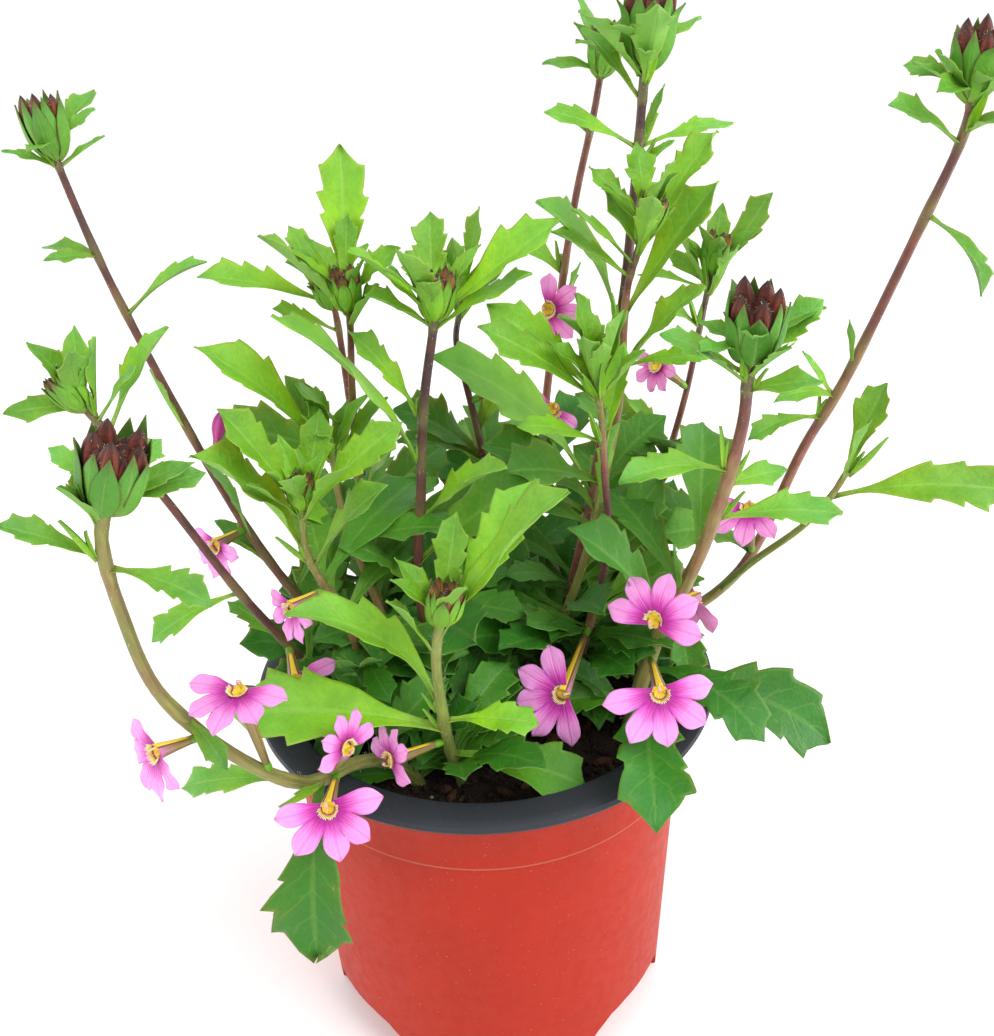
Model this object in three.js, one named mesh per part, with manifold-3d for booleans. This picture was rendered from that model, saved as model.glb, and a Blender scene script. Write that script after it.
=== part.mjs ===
// A fan flower (Scaevola) in a two-tone nursery pot.
// Millimetres, +Z up. The origin is the centre of the pot's underside and the pot's front faces -Y.
import * as THREE from "three";
import { mergeVertices } from "three/addons/utils/BufferGeometryUtils.js";
import Module from "manifold-3d";

const wasm = await Module();
wasm.setup();

// Driving sizes of the pot and its soil
const POT_HEIGHT = 97;
const LIP_RADIUS = 55;
const NECK_RADIUS = 48.5;
const BASE_RADIUS = 43.4;
const WALL = 1.6;
const INNER_TAPER = 0.4;
const FLOOR = 2.4;
const LIP_DEPTH = 2.8;
const LIP_EDGE = 1.2;
const SEAM_HEIGHT = 78;
const SEAM_STEP = 0.8;
const POT_SIDES = 34;
const NOTCH_COUNT = 8;
const NOTCH_HEIGHT = 11;
const NOTCH_BITE = 0.8;
const NOTCH_REACH = 12;
const NOTCH_HALF_ANGLE = 15;
const FIRST_NOTCH = 5;
const SOIL_LEVEL = 86;
const SOIL_SIDES = 20;

// Driving sizes of the plant
const GAP = 0.35;
const BLADE_THICKNESS = 0.7;
const BLADE_SLENDERNESS = 0.16;
const FACE_TURN = 25;
const STEM_SIDES = 5;
const STEM_STEP = 20;
const SINK = 10;
const ROOT_OFFSET = 0.45;
const HEAD_RADIUS = 3;
const BRACTS = 5;
const BUDS = 5;
const PETAL_LENGTH = 12;
const PETAL_HALF_WIDTH = 1.9;
const PETAL_SPREAD = 44;
const THROAT_RADIUS = 1.7;
const TUBE_RADIUS = 0.8;

const UP = new THREE.Vector3(0, 0, 1);
const radians = THREE.MathUtils.degToRad;

// Leaf outlines: share of the span, then share of the greatest half-width.
const TOOTHED = [[0, 0.09], [0.3, 0.25], [0.56, 1], [0.63, 0.66], [0.79, 0.88], [1, 0.05]];
const SMALL = [[0, 0.15], [0.5, 1], [0.74, 0.76], [1, 0.05]];
const SMALL_LEAF = 16;
const SMALL_WIDENING = 1.25;

// Each stem: its route from the soil to its head, its radius at the soil and at the head,
// the size of the bud head on it (0 for none), and its leaves.
// A leaf: share along the stem, azimuth, lift of its chord, span, droop, width.
const STEMS = {
  far_left: {
    route: [[-22, 4, 86], [-43, -4, 124], [-58, 2, 151], [-74, 8, 192], [-81, 10, 217], [-82, 10, 225]],
    radii: [1.3, 0.9],
    head: 1.2,
    leaves: [
      [0.84, -165, 25, 11, 25, 0.6],
      [0.84, 20, 30, 11, 15, 0.6],
      [0.66, 155, 5, 15, 20, 0.8],
      [0.66, -140, 15, 12, 20, 0.8],
      [0.58, -15, 35, 24, 35, 0.7],
      [0.46, -145, 70, 16, -10, 0.6],
      [0.3, -150, 70, 23, 20, 0.9],
      [0.26, 155, 30, 15, 20, 0.9],
      [0.2, 10, 45, 32, 25, 1],
      [0.12, 100, 30, 40, 30, 1.2],
      [0.08, 200, 25, 30, 35, 1.3],
    ],
  },
  left_front: {
    route: [[-16, -28, 86], [-21, -32, 96], [-28, -39, 102], [-38, -47, 104], [-50, -52, 116],
      [-61, -57, 136], [-64, -60, 157], [-64, -62, 173], [-60, -64, 184]],
    radii: [1.8, 1.4],
    head: 1.6,
    leaves: [
      [0.84, -170, 30, 18, 15, 1.1],
      [0.95, 15, 15, 17, 20, 1.1],
      [0.82, -15, -15, 19, 40, 1.1],
      [0.92, -120, 55, 14, 10, 1.1],
      [0.9, 120, 60, 15, 10, 1.1],
      [0.58, -45, -45, 12, 20, 1],
      [0.34, -98, -65, 38, 50, 1.6],
      [0.4, 170, -15, 25, 20, 1],
    ],
  },
  left_middle: {
    route: [[-34, -6, 86], [-41, -12, 109], [-52, -18, 133], [-63, -24, 161], [-70, -27, 176],
      [-75, -28, 185]],
    radii: [1.3, 0.9],
    head: 0.9,
    leaves: [
      [0.9, 0, 80, 17, 5, 1],
      [0.96, -165, 5, 15, 15, 1],
      [0.82, 10, 55, 25, 20, 1],
      [0.88, -20, 50, 17, 10, 0.9],
      [0.4, -170, -25, 22, 30, 1.1],
      [0.26, 150, 25, 17, 20, 1.1],
      [0.1, -150, 15, 26, 30, 1.4],
    ],
  },
  upright_left: {
    route: [[-20, 12, 86], [-26, 2, 128], [-26, 0, 150], [-25, -4, 174], [-24, -5, 188], [-24, -6, 195]],
    radii: [1.2, 0.8],
    head: 0.9,
    leaves: [
      [0.9, 90, 70, 34, 10, 1],
      [0.88, -145, 50, 27, 15, 1.1],
      [0.93, 155, 55, 17, 10, 1],
      [0.82, -40, 50, 14, 10, 1],
      [0.48, -140, 55, 23, 20, 1],
      [0.34, -30, 60, 24, 20, 1],
      [0.12, -80, 35, 34, 40, 1.4],
      [0.08, 60, 40, 36, 35, 1.3],
    ],
  },
  upright_left_back: {
    route: [[-30, 22, 86], [-27, 17, 131], [-28, 16, 158], [-29, 15, 182], [-30, 14, 188]],
    radii: [1.2, 0.8],
    head: 0.8,
    leaves: [
      [0.9, -175, 25, 29, 20, 1],
      [0.87, 130, 55, 21, 10, 1],
      [0.72, -155, 35, 17, 20, 1],
      [0.2, -165, 40, 26, 35, 1.3],
      [0.12, 90, 25, 34, 35, 1.3],
    ],
  },
  upright_middle: {
    route: [[-8, -4, 86], [-14, -6, 122], [-12, -8, 149], [-10, -9, 171], [-7, -10, 188], [-6, -10, 194]],
    radii: [1.4, 1.1],
    head: 1,
    leaves: [
      [0.91, -160, 55, 23, 15, 1.1],
      [0.86, -110, 65, 23, 10, 1.1],
      [0.84, -165, 45, 17, 15, 1],
      [0.89, 90, 60, 23, 5, 1],
      [0.88, 5, 45, 32, 10, 1.1],
      [0.82, -10, 30, 23, 20, 1],
      [0.48, -165, 55, 48, 30, 1],
      [0.58, 165, 55, 24, 20, 0.9],
      [0.36, -25, 40, 27, 20, 1.2],
      [0.14, -70, 30, 38, 40, 1.4],
      [0.1, 150, 35, 34, 35, 1.3],
    ],
  },
  upright_middle_back: {
    route: [[2, 24, 86], [3, 22, 132], [1, 20, 150], [-2, 18, 168], [-3, 16, 177], [-1, 15, 186]],
    radii: [1.1, 0.8],
    head: 0,
    leaves: [
      [0.96, 35, 75, 22, 5, 0.7],
      [0.94, -105, 80, 18, 5, 0.8],
      [0.9, -20, 50, 17, 15, 0.9],
      [0.92, 130, 65, 16, 10, 0.8],
      [0.42, 25, 35, 16, 20, 1],
      [0.2, -60, 40, 34, 35, 1.3],
      [0.12, 110, 30, 34, 35, 1.3],
      [0.08, 20, 35, 32, 35, 1.3],
    ],
  },
  tall_back: {
    route: [[12, 32, 86], [17, 32, 148], [21, 32, 177], [25, 32, 202], [29, 32, 220], [31, 31, 232]],
    radii: [1.2, 0.9],
    head: 1,
    leaves: [
      [0.97, -165, 10, 13, 20, 0.8],
      [0.95, 60, 45, 12, 10, 0.9],
      [0.4, -35, 65, 13, -10, 0.7],
      [0.46, 165, 35, 16, 25, 1],
      [0.76, 155, 35, 9, 20, 0.7],
      [0.14, 60, 30, 32, 35, 1.3],
      [0.1, 150, 35, 32, 35, 1.3],
    ],
  },
  tall_middle: {
    route: [[17, 16, 86], [22, 12, 112], [27, 11, 138], [33, 9, 181], [36, 10, 213], [37, 11, 226],
      [38, 12, 238]],
    radii: [1.5, 1.1],
    head: 1.5,
    leaves: [
      [0.72, -170, 25, 21, 25, 0.9],
      [0.72, 10, 10, 20, 25, 0.9],
      [0.68, -30, 45, 11, 10, 0.8],
      [0.74, 20, 65, 12, -10, 0.6],
      [0.5, -160, 60, 36, 45, 1.1],
      [0.34, -165, 45, 51, 40, 1.1],
      [0.92, -155, 52, 20, 10, 1.4],
      [0.9, -85, 55, 20, 5, 1.4],
      [0.86, 160, 48, 18, 10, 1.2],
      [0.28, 25, 40, 20, 20, 1.3],
      [0.12, 80, 30, 32, 35, 1.3],
    ],
  },
  leafy_right: {
    route: [[10, 2, 86], [22, 1, 118], [28, 1, 143], [32, 0, 166], [33, -1, 190], [35, -2, 200],
      [37, -3, 207]],
    radii: [1.2, 0.8],
    head: 0.8,
    leaves: [
      [0.64, 10, 55, 33, 10, 1.1],
      [0.88, 25, 65, 27, 10, 1.1],
      [0.84, -70, 58, 20, 5, 0.9],
      [0.56, -20, 50, 26, 15, 1],
      [0.56, -10, 10, 19, 20, 1],
      [0.8, -160, 45, 19, 15, 1],
      [0.74, 170, 30, 20, 20, 1.1],
      [0.88, 150, 55, 14, 10, 1],
      [0.54, -150, 50, 24, 20, 1],
      [0.32, -65, 70, 26, 15, 0.9],
      [0.14, -75, 30, 30, 35, 1.3],
      [0.08, -140, 30, 30, 35, 1.3],
    ],
  },
  back_right: {
    route: [[31, 24, 86], [42, 26, 116], [45, 28, 129], [51, 29, 154], [54, 28, 174], [56, 27, 188]],
    radii: [1.2, 0.8],
    head: 0.9,
    leaves: [
      [0.9, -155, 60, 23, 10, 1],
      [0.91, 15, 55, 25, 5, 1],
      [0.88, -65, 62, 19, 5, 0.9],
      [0.9, -165, 20, 18, 25, 0.7],
      [0.92, 155, 35, 13, 15, 1],
      [0.78, -160, 35, 14, 20, 0.9],
      [0.48, 150, 50, 17, 20, 1],
      [0.16, -120, 40, 34, 35, 1.3],
      [0.12, 60, 30, 32, 35, 1.3],
    ],
  },
  far_right: {
    route: [[38, 10, 86], [43, 9, 99], [58, 8, 112], [66, 8, 124], [75, 8, 149], [83, 7, 167], [95, 6, 201],
      [101, 5, 220], [101, 4, 231]],
    radii: [1.5, 1.2],
    head: 1.4,
    leaves: [
      [0.96, 170, 30, 13, 15, 0.7],
      [0.86, -165, 30, 19, 30, 1.1],
      [0.88, -55, 25, 11, 20, 1.4],
      [0.76, -25, -50, 20, 60, 1.1],
      [0.6, -165, 0, 15, 50, 0.9],
      [0.56, -165, -10, 18, 50, 0.9],
      [0.64, -140, 75, 11, -10, 0.6],
      [0.6, 160, 50, 12, -10, 0.7],
      [0.94, -150, 55, 16, 5, 1.1],
      [0.93, -60, 58, 15, 5, 1.1],
    ],
    branch: {
      isBranch: true,
      route: [[58, 8, 112], [64, 1, 124], [72, -7, 137], [77, -10, 146], [80, -11, 153]],
      radii: [1, 0.8],
      leaves: [
        [0.96, 15, 70, 22, 10, 1.2],
        [0.76, -10, 5, 38, 30, 1],
        [0.9, -60, 70, 19, 10, 0.9],
      ],
    },
  },
  right_front: {
    route: [[33, -14, 86], [39, -18, 116], [47, -22, 140], [51, -26, 159], [53, -29, 174], [53, -31, 185],
      [53, -33, 193]],
    radii: [1.9, 1.3],
    head: 1.5,
    leaves: [
      [0.88, 15, 40, 18, 10, 1.3],
      [0.84, 165, 25, 18, 20, 1.1],
      [0.84, -70, 40, 17, 10, 1.1],
      [0.82, -140, 36, 18, 10, 1],
      [0.78, -20, 15, 14, 20, 1.1],
      [0.54, -165, 5, 23, 45, 1.1],
      [0.42, -10, 5, 25, 25, 1.4],
      [0.2, -165, 45, 33, 35, 1.3],
      [0.26, -130, 75, 14, -10, 0.7],
      [0.5, 25, 0, 15, 20, 1],
      [0.08, -92, -4, 42, 70, 1.3],
      [0.08, -4, -18, 46, 70, 1.3],
      [0.12, -45, -6, 31, 80, 1.5],
    ],
  },
  inner_middle: {
    route: [[21, 2, 86], [25, -4, 111], [29, -7, 134], [28, -9, 155], [27, -11, 170], [26, -12, 175]],
    radii: [1.2, 0.8],
    head: 0,
    leaves: [
      [0.86, -170, 40, 32, 20, 1],
      [0.92, 170, 45, 30, 20, 1],
      [0.92, 150, 70, 23, 10, 1.1],
      [0.94, -35, 75, 21, 10, 1],
      [0.88, -30, 55, 17, 15, 0.9],
      [0.92, -115, 65, 19, 5, 0.9],
      [0.66, 50, 65, 24, 5, 0.8],
      [0.68, -160, 25, 21, 30, 1],
      [0.2, -165, 0, 22, 40, 1.1],
      [0.12, -60, 25, 28, 35, 1.3],
    ],
  },
  front_middle: {
    route: [[-6, -28, 86], [-8, -33, 100], [-9, -38, 117], [-9, -42, 132], [-7, -44, 143]],
    radii: [1.5, 1.2],
    head: 1,
    leaves: [
      [0.9, 65, 75, 24, 5, 1],
      [0.84, -10, 55, 44, 20, 1.1],
      [0.9, 25, 60, 36, 10, 1],
      [0.44, -170, 45, 42, 70, 1],
      [0.36, -160, 20, 45, 25, 1.3],
      [0.4, -15, 5, 20, 25, 1.3],
      [0.76, -150, 60, 20, 10, 1],
      [0.22, -15, -10, 30, 30, 1.4],
      [0.16, 60, 25, 32, 35, 1.4],
    ],
  },
  inner_left: {
    route: [[-24, -12, 86], [-30, -16, 124], [-34, -20, 137], [-36, -22, 147], [-35, -24, 159]],
    radii: [1.2, 0.9],
    head: 0.8,
    leaves: [
      [0.64, -160, 55, 36, 40, 1.1],
      [0.92, 180, 60, 28, 15, 1.1],
      [0.86, 70, 60, 24, 5, 1],
      [0.9, -125, 55, 17, 10, 1],
      [0.92, 10, 40, 28, 15, 1],
      [0.89, -50, 55, 26, 10, 0.9],
      [0.6, -25, 50, 30, 20, 1],
      [0.14, -110, 30, 28, 35, 1.3],
      [0.1, 175, 25, 28, 35, 1.3],
    ],
  },
  inner_left_back: {
    route: [[-16, -4, 86], [-24, -6, 122], [-27, -8, 136], [-29, -8, 143], [-30, -8, 155], [-30, -8, 162]],
    radii: [1.1, 0.8],
    head: 0,
    leaves: [
      [0.9, -175, 50, 39, 30, 1],
      [0.88, -145, 60, 21, 15, 1],
      [0.78, -15, 40, 19, 20, 1],
      [0.91, 25, 58, 28, 10, 1],
      [0.93, 140, 70, 21, 10, 0.9],
      [0.48, 160, 30, 17, 20, 1.1],
      [0.1, -60, 35, 32, 35, 1.3],
    ],
  },
};

// Each flower: stem, share along it, azimuth, lift and length of its tube, lift of its face,
// turn of the fan from pointing down, and size.
const FLOWERS = [
  ["left_front", 0.3, -90, 10, 14, 30, 10, 1.05],
  ["left_front", 0.55, -140, 8, 12, 10, -20, 0.95],
  ["left_front", 0.44, -110, 75, 25, 75, 0, 1],
  ["left_front", 0.32, -35, 60, 13, 10, 180, 0.8],
  ["front_middle", 0.3, -150, 0, 15, 20, 180, 0.8],
  ["left_middle", 0.26, -75, -10, 12, 10, 20, 0.9],
  ["inner_middle", 0.2, -110, -10, 23, 30, -70, 1.1],
  ["right_front", 0.24, -120, 10, 12, 35, 175, 1.05],
  ["right_front", 0.14, -94, 22, 28, 30, 10, 1.1],
  ["right_front", 0.24, 55, -25, 12, 10, 60, 0.9],
  ["far_right", 0.36, -110, 60, 20, 60, 0, 0.95],
  ["tall_back", 0.4, -115, 15, 7, 15, 90, 0.8],
  ["tall_back", 0.22, -75, 35, 8, 20, -40, 0.7],
  ["upright_middle_back", 0.5, -10, 35, 10, 20, 0, 0.75],
  ["back_right", 0.62, -150, 45, 13, 20, 0, 0.7],
  ["far_left", 0.32, -135, -10, 9, 10, 0, 0.8],
  ["inner_left", 0.42, -140, -5, 10, 10, 0, 0.75],
];
const CLOSED_FLOWER = { stem: "far_left", along: 0.42, azimuth: -35, lift: 70, length: 15, radius: 1.5 };

// Small turns, azimuth and lift, that a leaf may take to stay clear of what grows beside it.
const TURNS = [
  [0, 0], [8, 0], [-8, 0], [0, 8], [0, -8], [16, 6], [-16, 6], [14, -8], [-14, -8], [0, 16], [0, -15],
  [28, 4], [-28, 4], [24, 16], [-24, 16], [40, 10], [-40, 10], [0, 26], [55, 14], [-55, 14],
];
const SHORTENINGS = [1, 0.84, 0.68];

// A closed geometry as a solid, and back.
function solidOf(geometry) {
  const bare = geometry.clone();
  bare.deleteAttribute("normal");
  bare.deleteAttribute("uv");
  const merged = mergeVertices(bare, 1e-4);
  return new wasm.Manifold(new wasm.Mesh({
    numProp: 3,
    vertProperties: new Float32Array(merged.getAttribute("position").array),
    triVerts: new Uint32Array(merged.index.array),
  }));
}

function geometryOf(solid) {
  const mesh = solid.getMesh();
  const geometry = new THREE.BufferGeometry();
  geometry.setAttribute("position", new THREE.BufferAttribute(new Float32Array(mesh.vertProperties), 3));
  geometry.setIndex(new THREE.BufferAttribute(new Uint32Array(mesh.triVerts), 1));
  const flat = geometry.toNonIndexed();
  flat.computeVertexNormals();
  return flat;
}

function joined(solids) {
  return solids.reduce((whole, next) => whole.add(next));
}

// Only the largest body of a solid, without loose scraps.
function largestBody(solid) {
  return solid.decompose().sort((a, b) => b.volume() - a.volume())[0];
}

function direction(azimuth, lift) {
  const flat = Math.cos(radians(lift));
  return new THREE.Vector3(
    flat * Math.cos(radians(azimuth)), flat * Math.sin(radians(azimuth)), Math.sin(radians(lift)),
  );
}

// What has been placed so far, so that each new piece can be set clear of it.
const placed = [];

function place(owner, solid, isStem = false) {
  placed.push({ owner, solid, isStem, box: solid.boundingBox() });
  return solid;
}

function boxesMeet(a, b) {
  return [0, 1, 2].every((i) => a.min[i] <= b.max[i] && b.min[i] <= a.max[i]);
}

function isClear(guard, isNeighbour) {
  const box = guard.boundingBox();
  return placed.every((other) => (
    !isNeighbour(other) || !boxesMeet(box, other.box) || guard.intersect(other.solid).isEmpty()
  ));
}

// The pot: one wall with a floor, a step under the neck and a wide rolled lip, and drain notches
// round its foot.
function potSolid() {
  const inner = NECK_RADIUS - WALL;
  const lipFoot = POT_HEIGHT - LIP_DEPTH;
  const profile = [
    [0, 0], [BASE_RADIUS, 0],
    [NECK_RADIUS - 1.5 * SEAM_STEP, SEAM_HEIGHT - SEAM_STEP], [NECK_RADIUS - 0.5 * SEAM_STEP, SEAM_HEIGHT],
    [NECK_RADIUS, lipFoot - LIP_EDGE], [LIP_RADIUS - 0.5, lipFoot],
    [LIP_RADIUS, POT_HEIGHT - LIP_EDGE], [LIP_RADIUS - LIP_EDGE, POT_HEIGHT],
    [inner, POT_HEIGHT], [inner - INNER_TAPER, SEAM_HEIGHT], [BASE_RADIUS - WALL, FLOOR], [0, FLOOR],
  ].map(([radius, height]) => new THREE.Vector2(radius, height));
  const turned = new THREE.LatheGeometry(profile, POT_SIDES).rotateX(Math.PI / 2);
  let pot = solidOf(turned);
  for (let i = 0; i < NOTCH_COUNT; i += 1) {
    pot = pot.subtract(notchSolid(FIRST_NOTCH + (360 / NOTCH_COUNT) * i));
  }
  return pot;
}

// A drain notch: a wedge, narrower towards its top, that takes a bite out of the foot's wall.
function notchSolid(azimuth) {
  const half = BASE_RADIUS * Math.sin(radians(NOTCH_HALF_ANGLE));
  const section = new THREE.Shape([
    new THREE.Vector2(-half, -1),
    new THREE.Vector2(half, -1),
    new THREE.Vector2(half * 0.75, FLOOR + 1),
    new THREE.Vector2(half * 0.45, NOTCH_HEIGHT),
    new THREE.Vector2(-half * 0.45, NOTCH_HEIGHT),
    new THREE.Vector2(-half * 0.75, FLOOR + 1),
  ]);
  const wedge = new THREE.ExtrudeGeometry(section, { depth: NOTCH_REACH, steps: 1, bevelEnabled: false });
  wedge.rotateX(Math.PI / 2).rotateZ(Math.PI / 2);
  wedge.translate(BASE_RADIUS - NOTCH_BITE, 0, 0).rotateZ(radians(azimuth));
  return solidOf(wedge);
}

// The soil: a plug that fills the pot, with an uneven top and a plain hole round each stem.
function soilSolid(holes) {
  const top = NECK_RADIUS - WALL - INNER_TAPER - GAP;
  const foot = BASE_RADIUS - WALL - GAP;
  const profile = [
    [0, FLOOR + GAP], [foot, FLOOR + GAP], [top - INNER_TAPER, SEAM_HEIGHT], [top, SOIL_LEVEL - 1],
    [top * 0.6, SOIL_LEVEL], [0, SOIL_LEVEL],
  ].map(([radius, height]) => new THREE.Vector2(radius, height));
  const plug = new THREE.LatheGeometry(profile, SOIL_SIDES).rotateX(Math.PI / 2);
  const points = plug.getAttribute("position");
  for (let i = 0; i < points.count; i += 1) {
    if (points.getZ(i) >= SOIL_LEVEL - 0.5) {
      points.setZ(i, points.getZ(i) + soilBump(points.getX(i), points.getY(i)));
    }
  }
  return holes.reduce((soil, hole) => soil.subtract(hole), solidOf(plug));
}

function soilBump(x, y) {
  return 0.6 * Math.sin(x * 0.31 + 1) * Math.cos(y * 0.27) + 0.4 * Math.sin(x * 0.9 - y * 0.7);
}

// A stem follows a smooth curve through its route. All but a side branch start straight under
// the place where they leave the soil. Its rings are evenly spread along the curve.
function stemCurve({ route, isBranch }) {
  const [x, y, z] = route[0];
  const corners = isBranch ? route : [[x, y, z - SINK], ...route];
  const points = corners.map((corner) => new THREE.Vector3(...corner));
  return new THREE.CatmullRomCurve3(points, false, "catmullrom", 0.5);
}

function ringCount(curve) {
  return Math.round(curve.getLength() / STEM_STEP);
}

// A tapering tube along a stem, made from a long cylinder laid along its curve. With some spare
// it is wider all round and starts lower.
function tubeSolid(stem, spare = 0) {
  const curve = stemCurve(stem);
  const steps = ringCount(curve);
  const tube = new THREE.CylinderGeometry(1, 1, steps, STEM_SIDES, steps).rotateX(Math.PI / 2);
  const corners = tube.getAttribute("position");
  const turn = new THREE.Quaternion();
  for (let i = 0; i < corners.count; i += 1) {
    const row = Math.round(corners.getZ(i) + steps / 2);
    const radius = THREE.MathUtils.lerp(...stem.radii, row / steps) + spare;
    turn.setFromUnitVectors(UP, curve.getTangent(row / steps));
    const corner = new THREE.Vector3(corners.getX(i) * radius, corners.getY(i) * radius, 0)
      .applyQuaternion(turn)
      .add(curve.getPoint(row / steps));
    corners.setXYZ(i, corner.x, corner.y, row === 0 ? corner.z - spare : corner.z);
  }
  return solidOf(tube);
}

// The place, direction and radius of a stem at a share of its route above the soil.
function stemPlace(stem, along) {
  const spans = stem.route.length - 1;
  const share = stem.isBranch ? along : (1 + along * spans) / (1 + spans);
  const curve = stemCurve(stem);
  const steps = ringCount(curve);
  const ring = Math.min(Math.floor(share * steps), steps - 1);
  const point = curve.getPoint(ring / steps).lerp(curve.getPoint((ring + 1) / steps), share * steps - ring);
  return { point, tangent: curve.getTangent(share), radius: THREE.MathUtils.lerp(...stem.radii, share) };
}

// The middle line of a blade is an arc that starts steeper than its chord and ends flatter.
function bladeFrame(blade, share) {
  const bend = radians(blade.droop) || 1e-6;
  const rise = radians(blade.lift) + bend / 2;
  const arc = (blade.span * bend) / 2 / Math.sin(bend / 2);
  const flat = (arc / bend) * (Math.sin(rise) - Math.sin(rise - bend * share));
  const high = (arc / bend) * (Math.cos(rise - bend * share) - Math.cos(rise));
  const ahead = direction(blade.azimuth, 0);
  const slope = THREE.MathUtils.radToDeg(rise - bend * share);
  const tangent = direction(blade.azimuth, slope);
  const level = new THREE.Vector3().crossVectors(ahead, UP);
  const above = new THREE.Vector3().crossVectors(level, tangent);
  const turn = radians(FACE_TURN * Math.cos(radians(blade.azimuth)));
  return {
    point: blade.root.clone().addScaledVector(ahead, flat).addScaledVector(UP, high),
    side: level.clone().multiplyScalar(Math.cos(turn)).addScaledVector(above, -Math.sin(turn)),
    above: above.clone().multiplyScalar(Math.cos(turn)).addScaledVector(level, Math.sin(turn)),
  };
}

// A blade is a flat box of cells drawn out into its outline and laid along its middle line.
function bladeSolid(blade, spare = 0, start = 0) {
  const outline = blade.outline.filter(([share]) => share >= start);
  const rows = outline.length - 1;
  const box = new THREE.BoxGeometry(2, rows, BLADE_THICKNESS + 2 * spare, 1, rows, 1);
  const points = box.getAttribute("position");
  for (let i = 0; i < points.count; i += 1) {
    const row = Math.round(points.getY(i) + rows / 2);
    const [share, width] = outline[row];
    const reach = row === rows ? 1 + spare / blade.span : share;
    const frame = bladeFrame(blade, reach);
    const point = frame.point
      .addScaledVector(frame.side, points.getX(i) * (width * blade.halfWidth + spare))
      .addScaledVector(frame.above, points.getZ(i));
    points.setXYZ(i, point.x, point.y, point.z);
  }
  return solidOf(box);
}

function leafBlade(stem, [along, azimuth, lift, span, droop, width]) {
  const isSmall = span <= SMALL_LEAF;
  const { point, radius } = stemPlace(stem, along);
  return {
    root: point.addScaledVector(direction(azimuth, 0), radius * ROOT_OFFSET),
    azimuth,
    lift,
    span,
    droop,
    halfWidth: span * BLADE_SLENDERNESS * width * (isSmall ? SMALL_WIDENING : 1),
    outline: isSmall ? SMALL : TOOTHED,
  };
}

// A leaf takes the first of its small turns that keeps it clear, and is left out if none does.
function growLeaf(owner, stem, row) {
  const first = leafBlade(stem, row);
  for (const shortening of SHORTENINGS) {
    for (const [turn, rise] of TURNS) {
      const blade = {
        ...first,
        azimuth: first.azimuth + turn,
        lift: first.lift + rise,
        span: first.span * shortening,
        halfWidth: first.halfWidth * shortening,
      };
      const isFree = isClear(bladeSolid(blade, GAP), (other) => other.owner !== owner)
        && isClear(bladeSolid(blade, GAP / 2, 0.2), (other) => other.owner === owner && !other.isStem);
      if (isFree) {
        return place(owner, bladeSolid(blade));
      }
    }
  }
  return null;
}

// A bud head stands on the end of its stem, on a frame whose Z axis is the stem's direction.
function headMatrix(stem, lift) {
  const { point, tangent } = stemPlace(stem, 1);
  const turn = new THREE.Quaternion().setFromUnitVectors(UP, tangent);
  return new THREE.Matrix4().compose(point.addScaledVector(tangent, lift), turn, new THREE.Vector3(1, 1, 1));
}

// A body turned from a profile whose rim rises to points: every second corner of the rows
// named in rises is lifted and pushed out.
function crownSolid(profile, rises, points, matrix) {
  const outline = profile.map(([radius, height]) => new THREE.Vector2(radius, height));
  const crown = new THREE.LatheGeometry(outline, points * 2).rotateX(Math.PI / 2);
  const corners = crown.getAttribute("position");
  for (let i = 0; i < corners.count; i += 1) {
    const row = i % profile.length;
    const column = Math.floor(i / profile.length);
    const [lift, push] = rises[row] ?? [0, 1];
    if (column % 2 === 0) {
      corners.setXYZ(i, corners.getX(i) * push, corners.getY(i) * push, corners.getZ(i) + lift);
    }
  }
  return solidOf(crown.applyMatrix4(matrix));
}

// The green cup under the buds, whose rim is a ring of pointed bracts.
function cupSolid(stem) {
  const radius = HEAD_RADIUS * stem.head;
  const rim = radius * 1.25;
  const height = radius * 0.7;
  const tip = [radius * 1.5, 1.12];
  const profile = [
    [0, -radius], [stem.radii[1] * 0.8, -radius], [radius + 0.6, -0.3], [rim, height],
    [rim - BLADE_THICKNESS, height], [radius - 0.1, 0], [0, 0],
  ];
  return crownSolid(profile, { 3: tip, 4: tip }, BRACTS, headMatrix(stem, 0));
}

// The brown buds: a ring of points round a middle one.
function budSolid(stem) {
  const radius = HEAD_RADIUS * stem.head;
  const profile = [
    [0, 0], [radius * 0.75, 0], [radius * 0.9, radius * 0.6], [radius * 0.8, radius * 1.8],
    [radius * 0.3, radius * 1.6], [0, radius * 3],
  ];
  return crownSolid(profile, { 3: [radius * 1.7, 1.05] }, BUDS, headMatrix(stem, GAP));
}

// The fan: five pointed petals side by side round the lower half of the throat.
function fanSolid(size) {
  const length = PETAL_LENGTH * size;
  const outline = [new THREE.Vector2(-THROAT_RADIUS, 0.6), new THREE.Vector2(0, THROAT_RADIUS)];
  outline.push(new THREE.Vector2(THROAT_RADIUS, 0.6));
  for (let i = 0; i < 5; i += 1) {
    const angle = radians(-90 + PETAL_SPREAD * (2 - i));
    const ahead = new THREE.Vector2(Math.cos(angle), Math.sin(angle));
    const aside = new THREE.Vector2(Math.sin(angle), -Math.cos(angle));
    const petal = [[0.68, -1], [1, 0], [0.68, 1]];
    petal.forEach(([share, width]) => outline.push(
      ahead.clone().multiplyScalar(length * share).addScaledVector(aside, PETAL_HALF_WIDTH * size * width),
    ));
    if (i < 4) {
      const notch = angle - radians(PETAL_SPREAD / 2);
      outline.push(new THREE.Vector2(Math.cos(notch), Math.sin(notch)).multiplyScalar(THROAT_RADIUS * 1.25));
    }
  }
  const fan = new THREE.ExtrudeGeometry(new THREE.Shape(outline.reverse()), {
    depth: BLADE_THICKNESS, steps: 1, bevelEnabled: false,
  });
  const points = fan.getAttribute("position");
  for (let i = 0; i < points.count; i += 1) {
    points.setZ(i, points.getZ(i) + fanLift(Math.hypot(points.getX(i), points.getY(i)) / length) * size);
  }
  return solidOf(fan);
}

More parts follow.
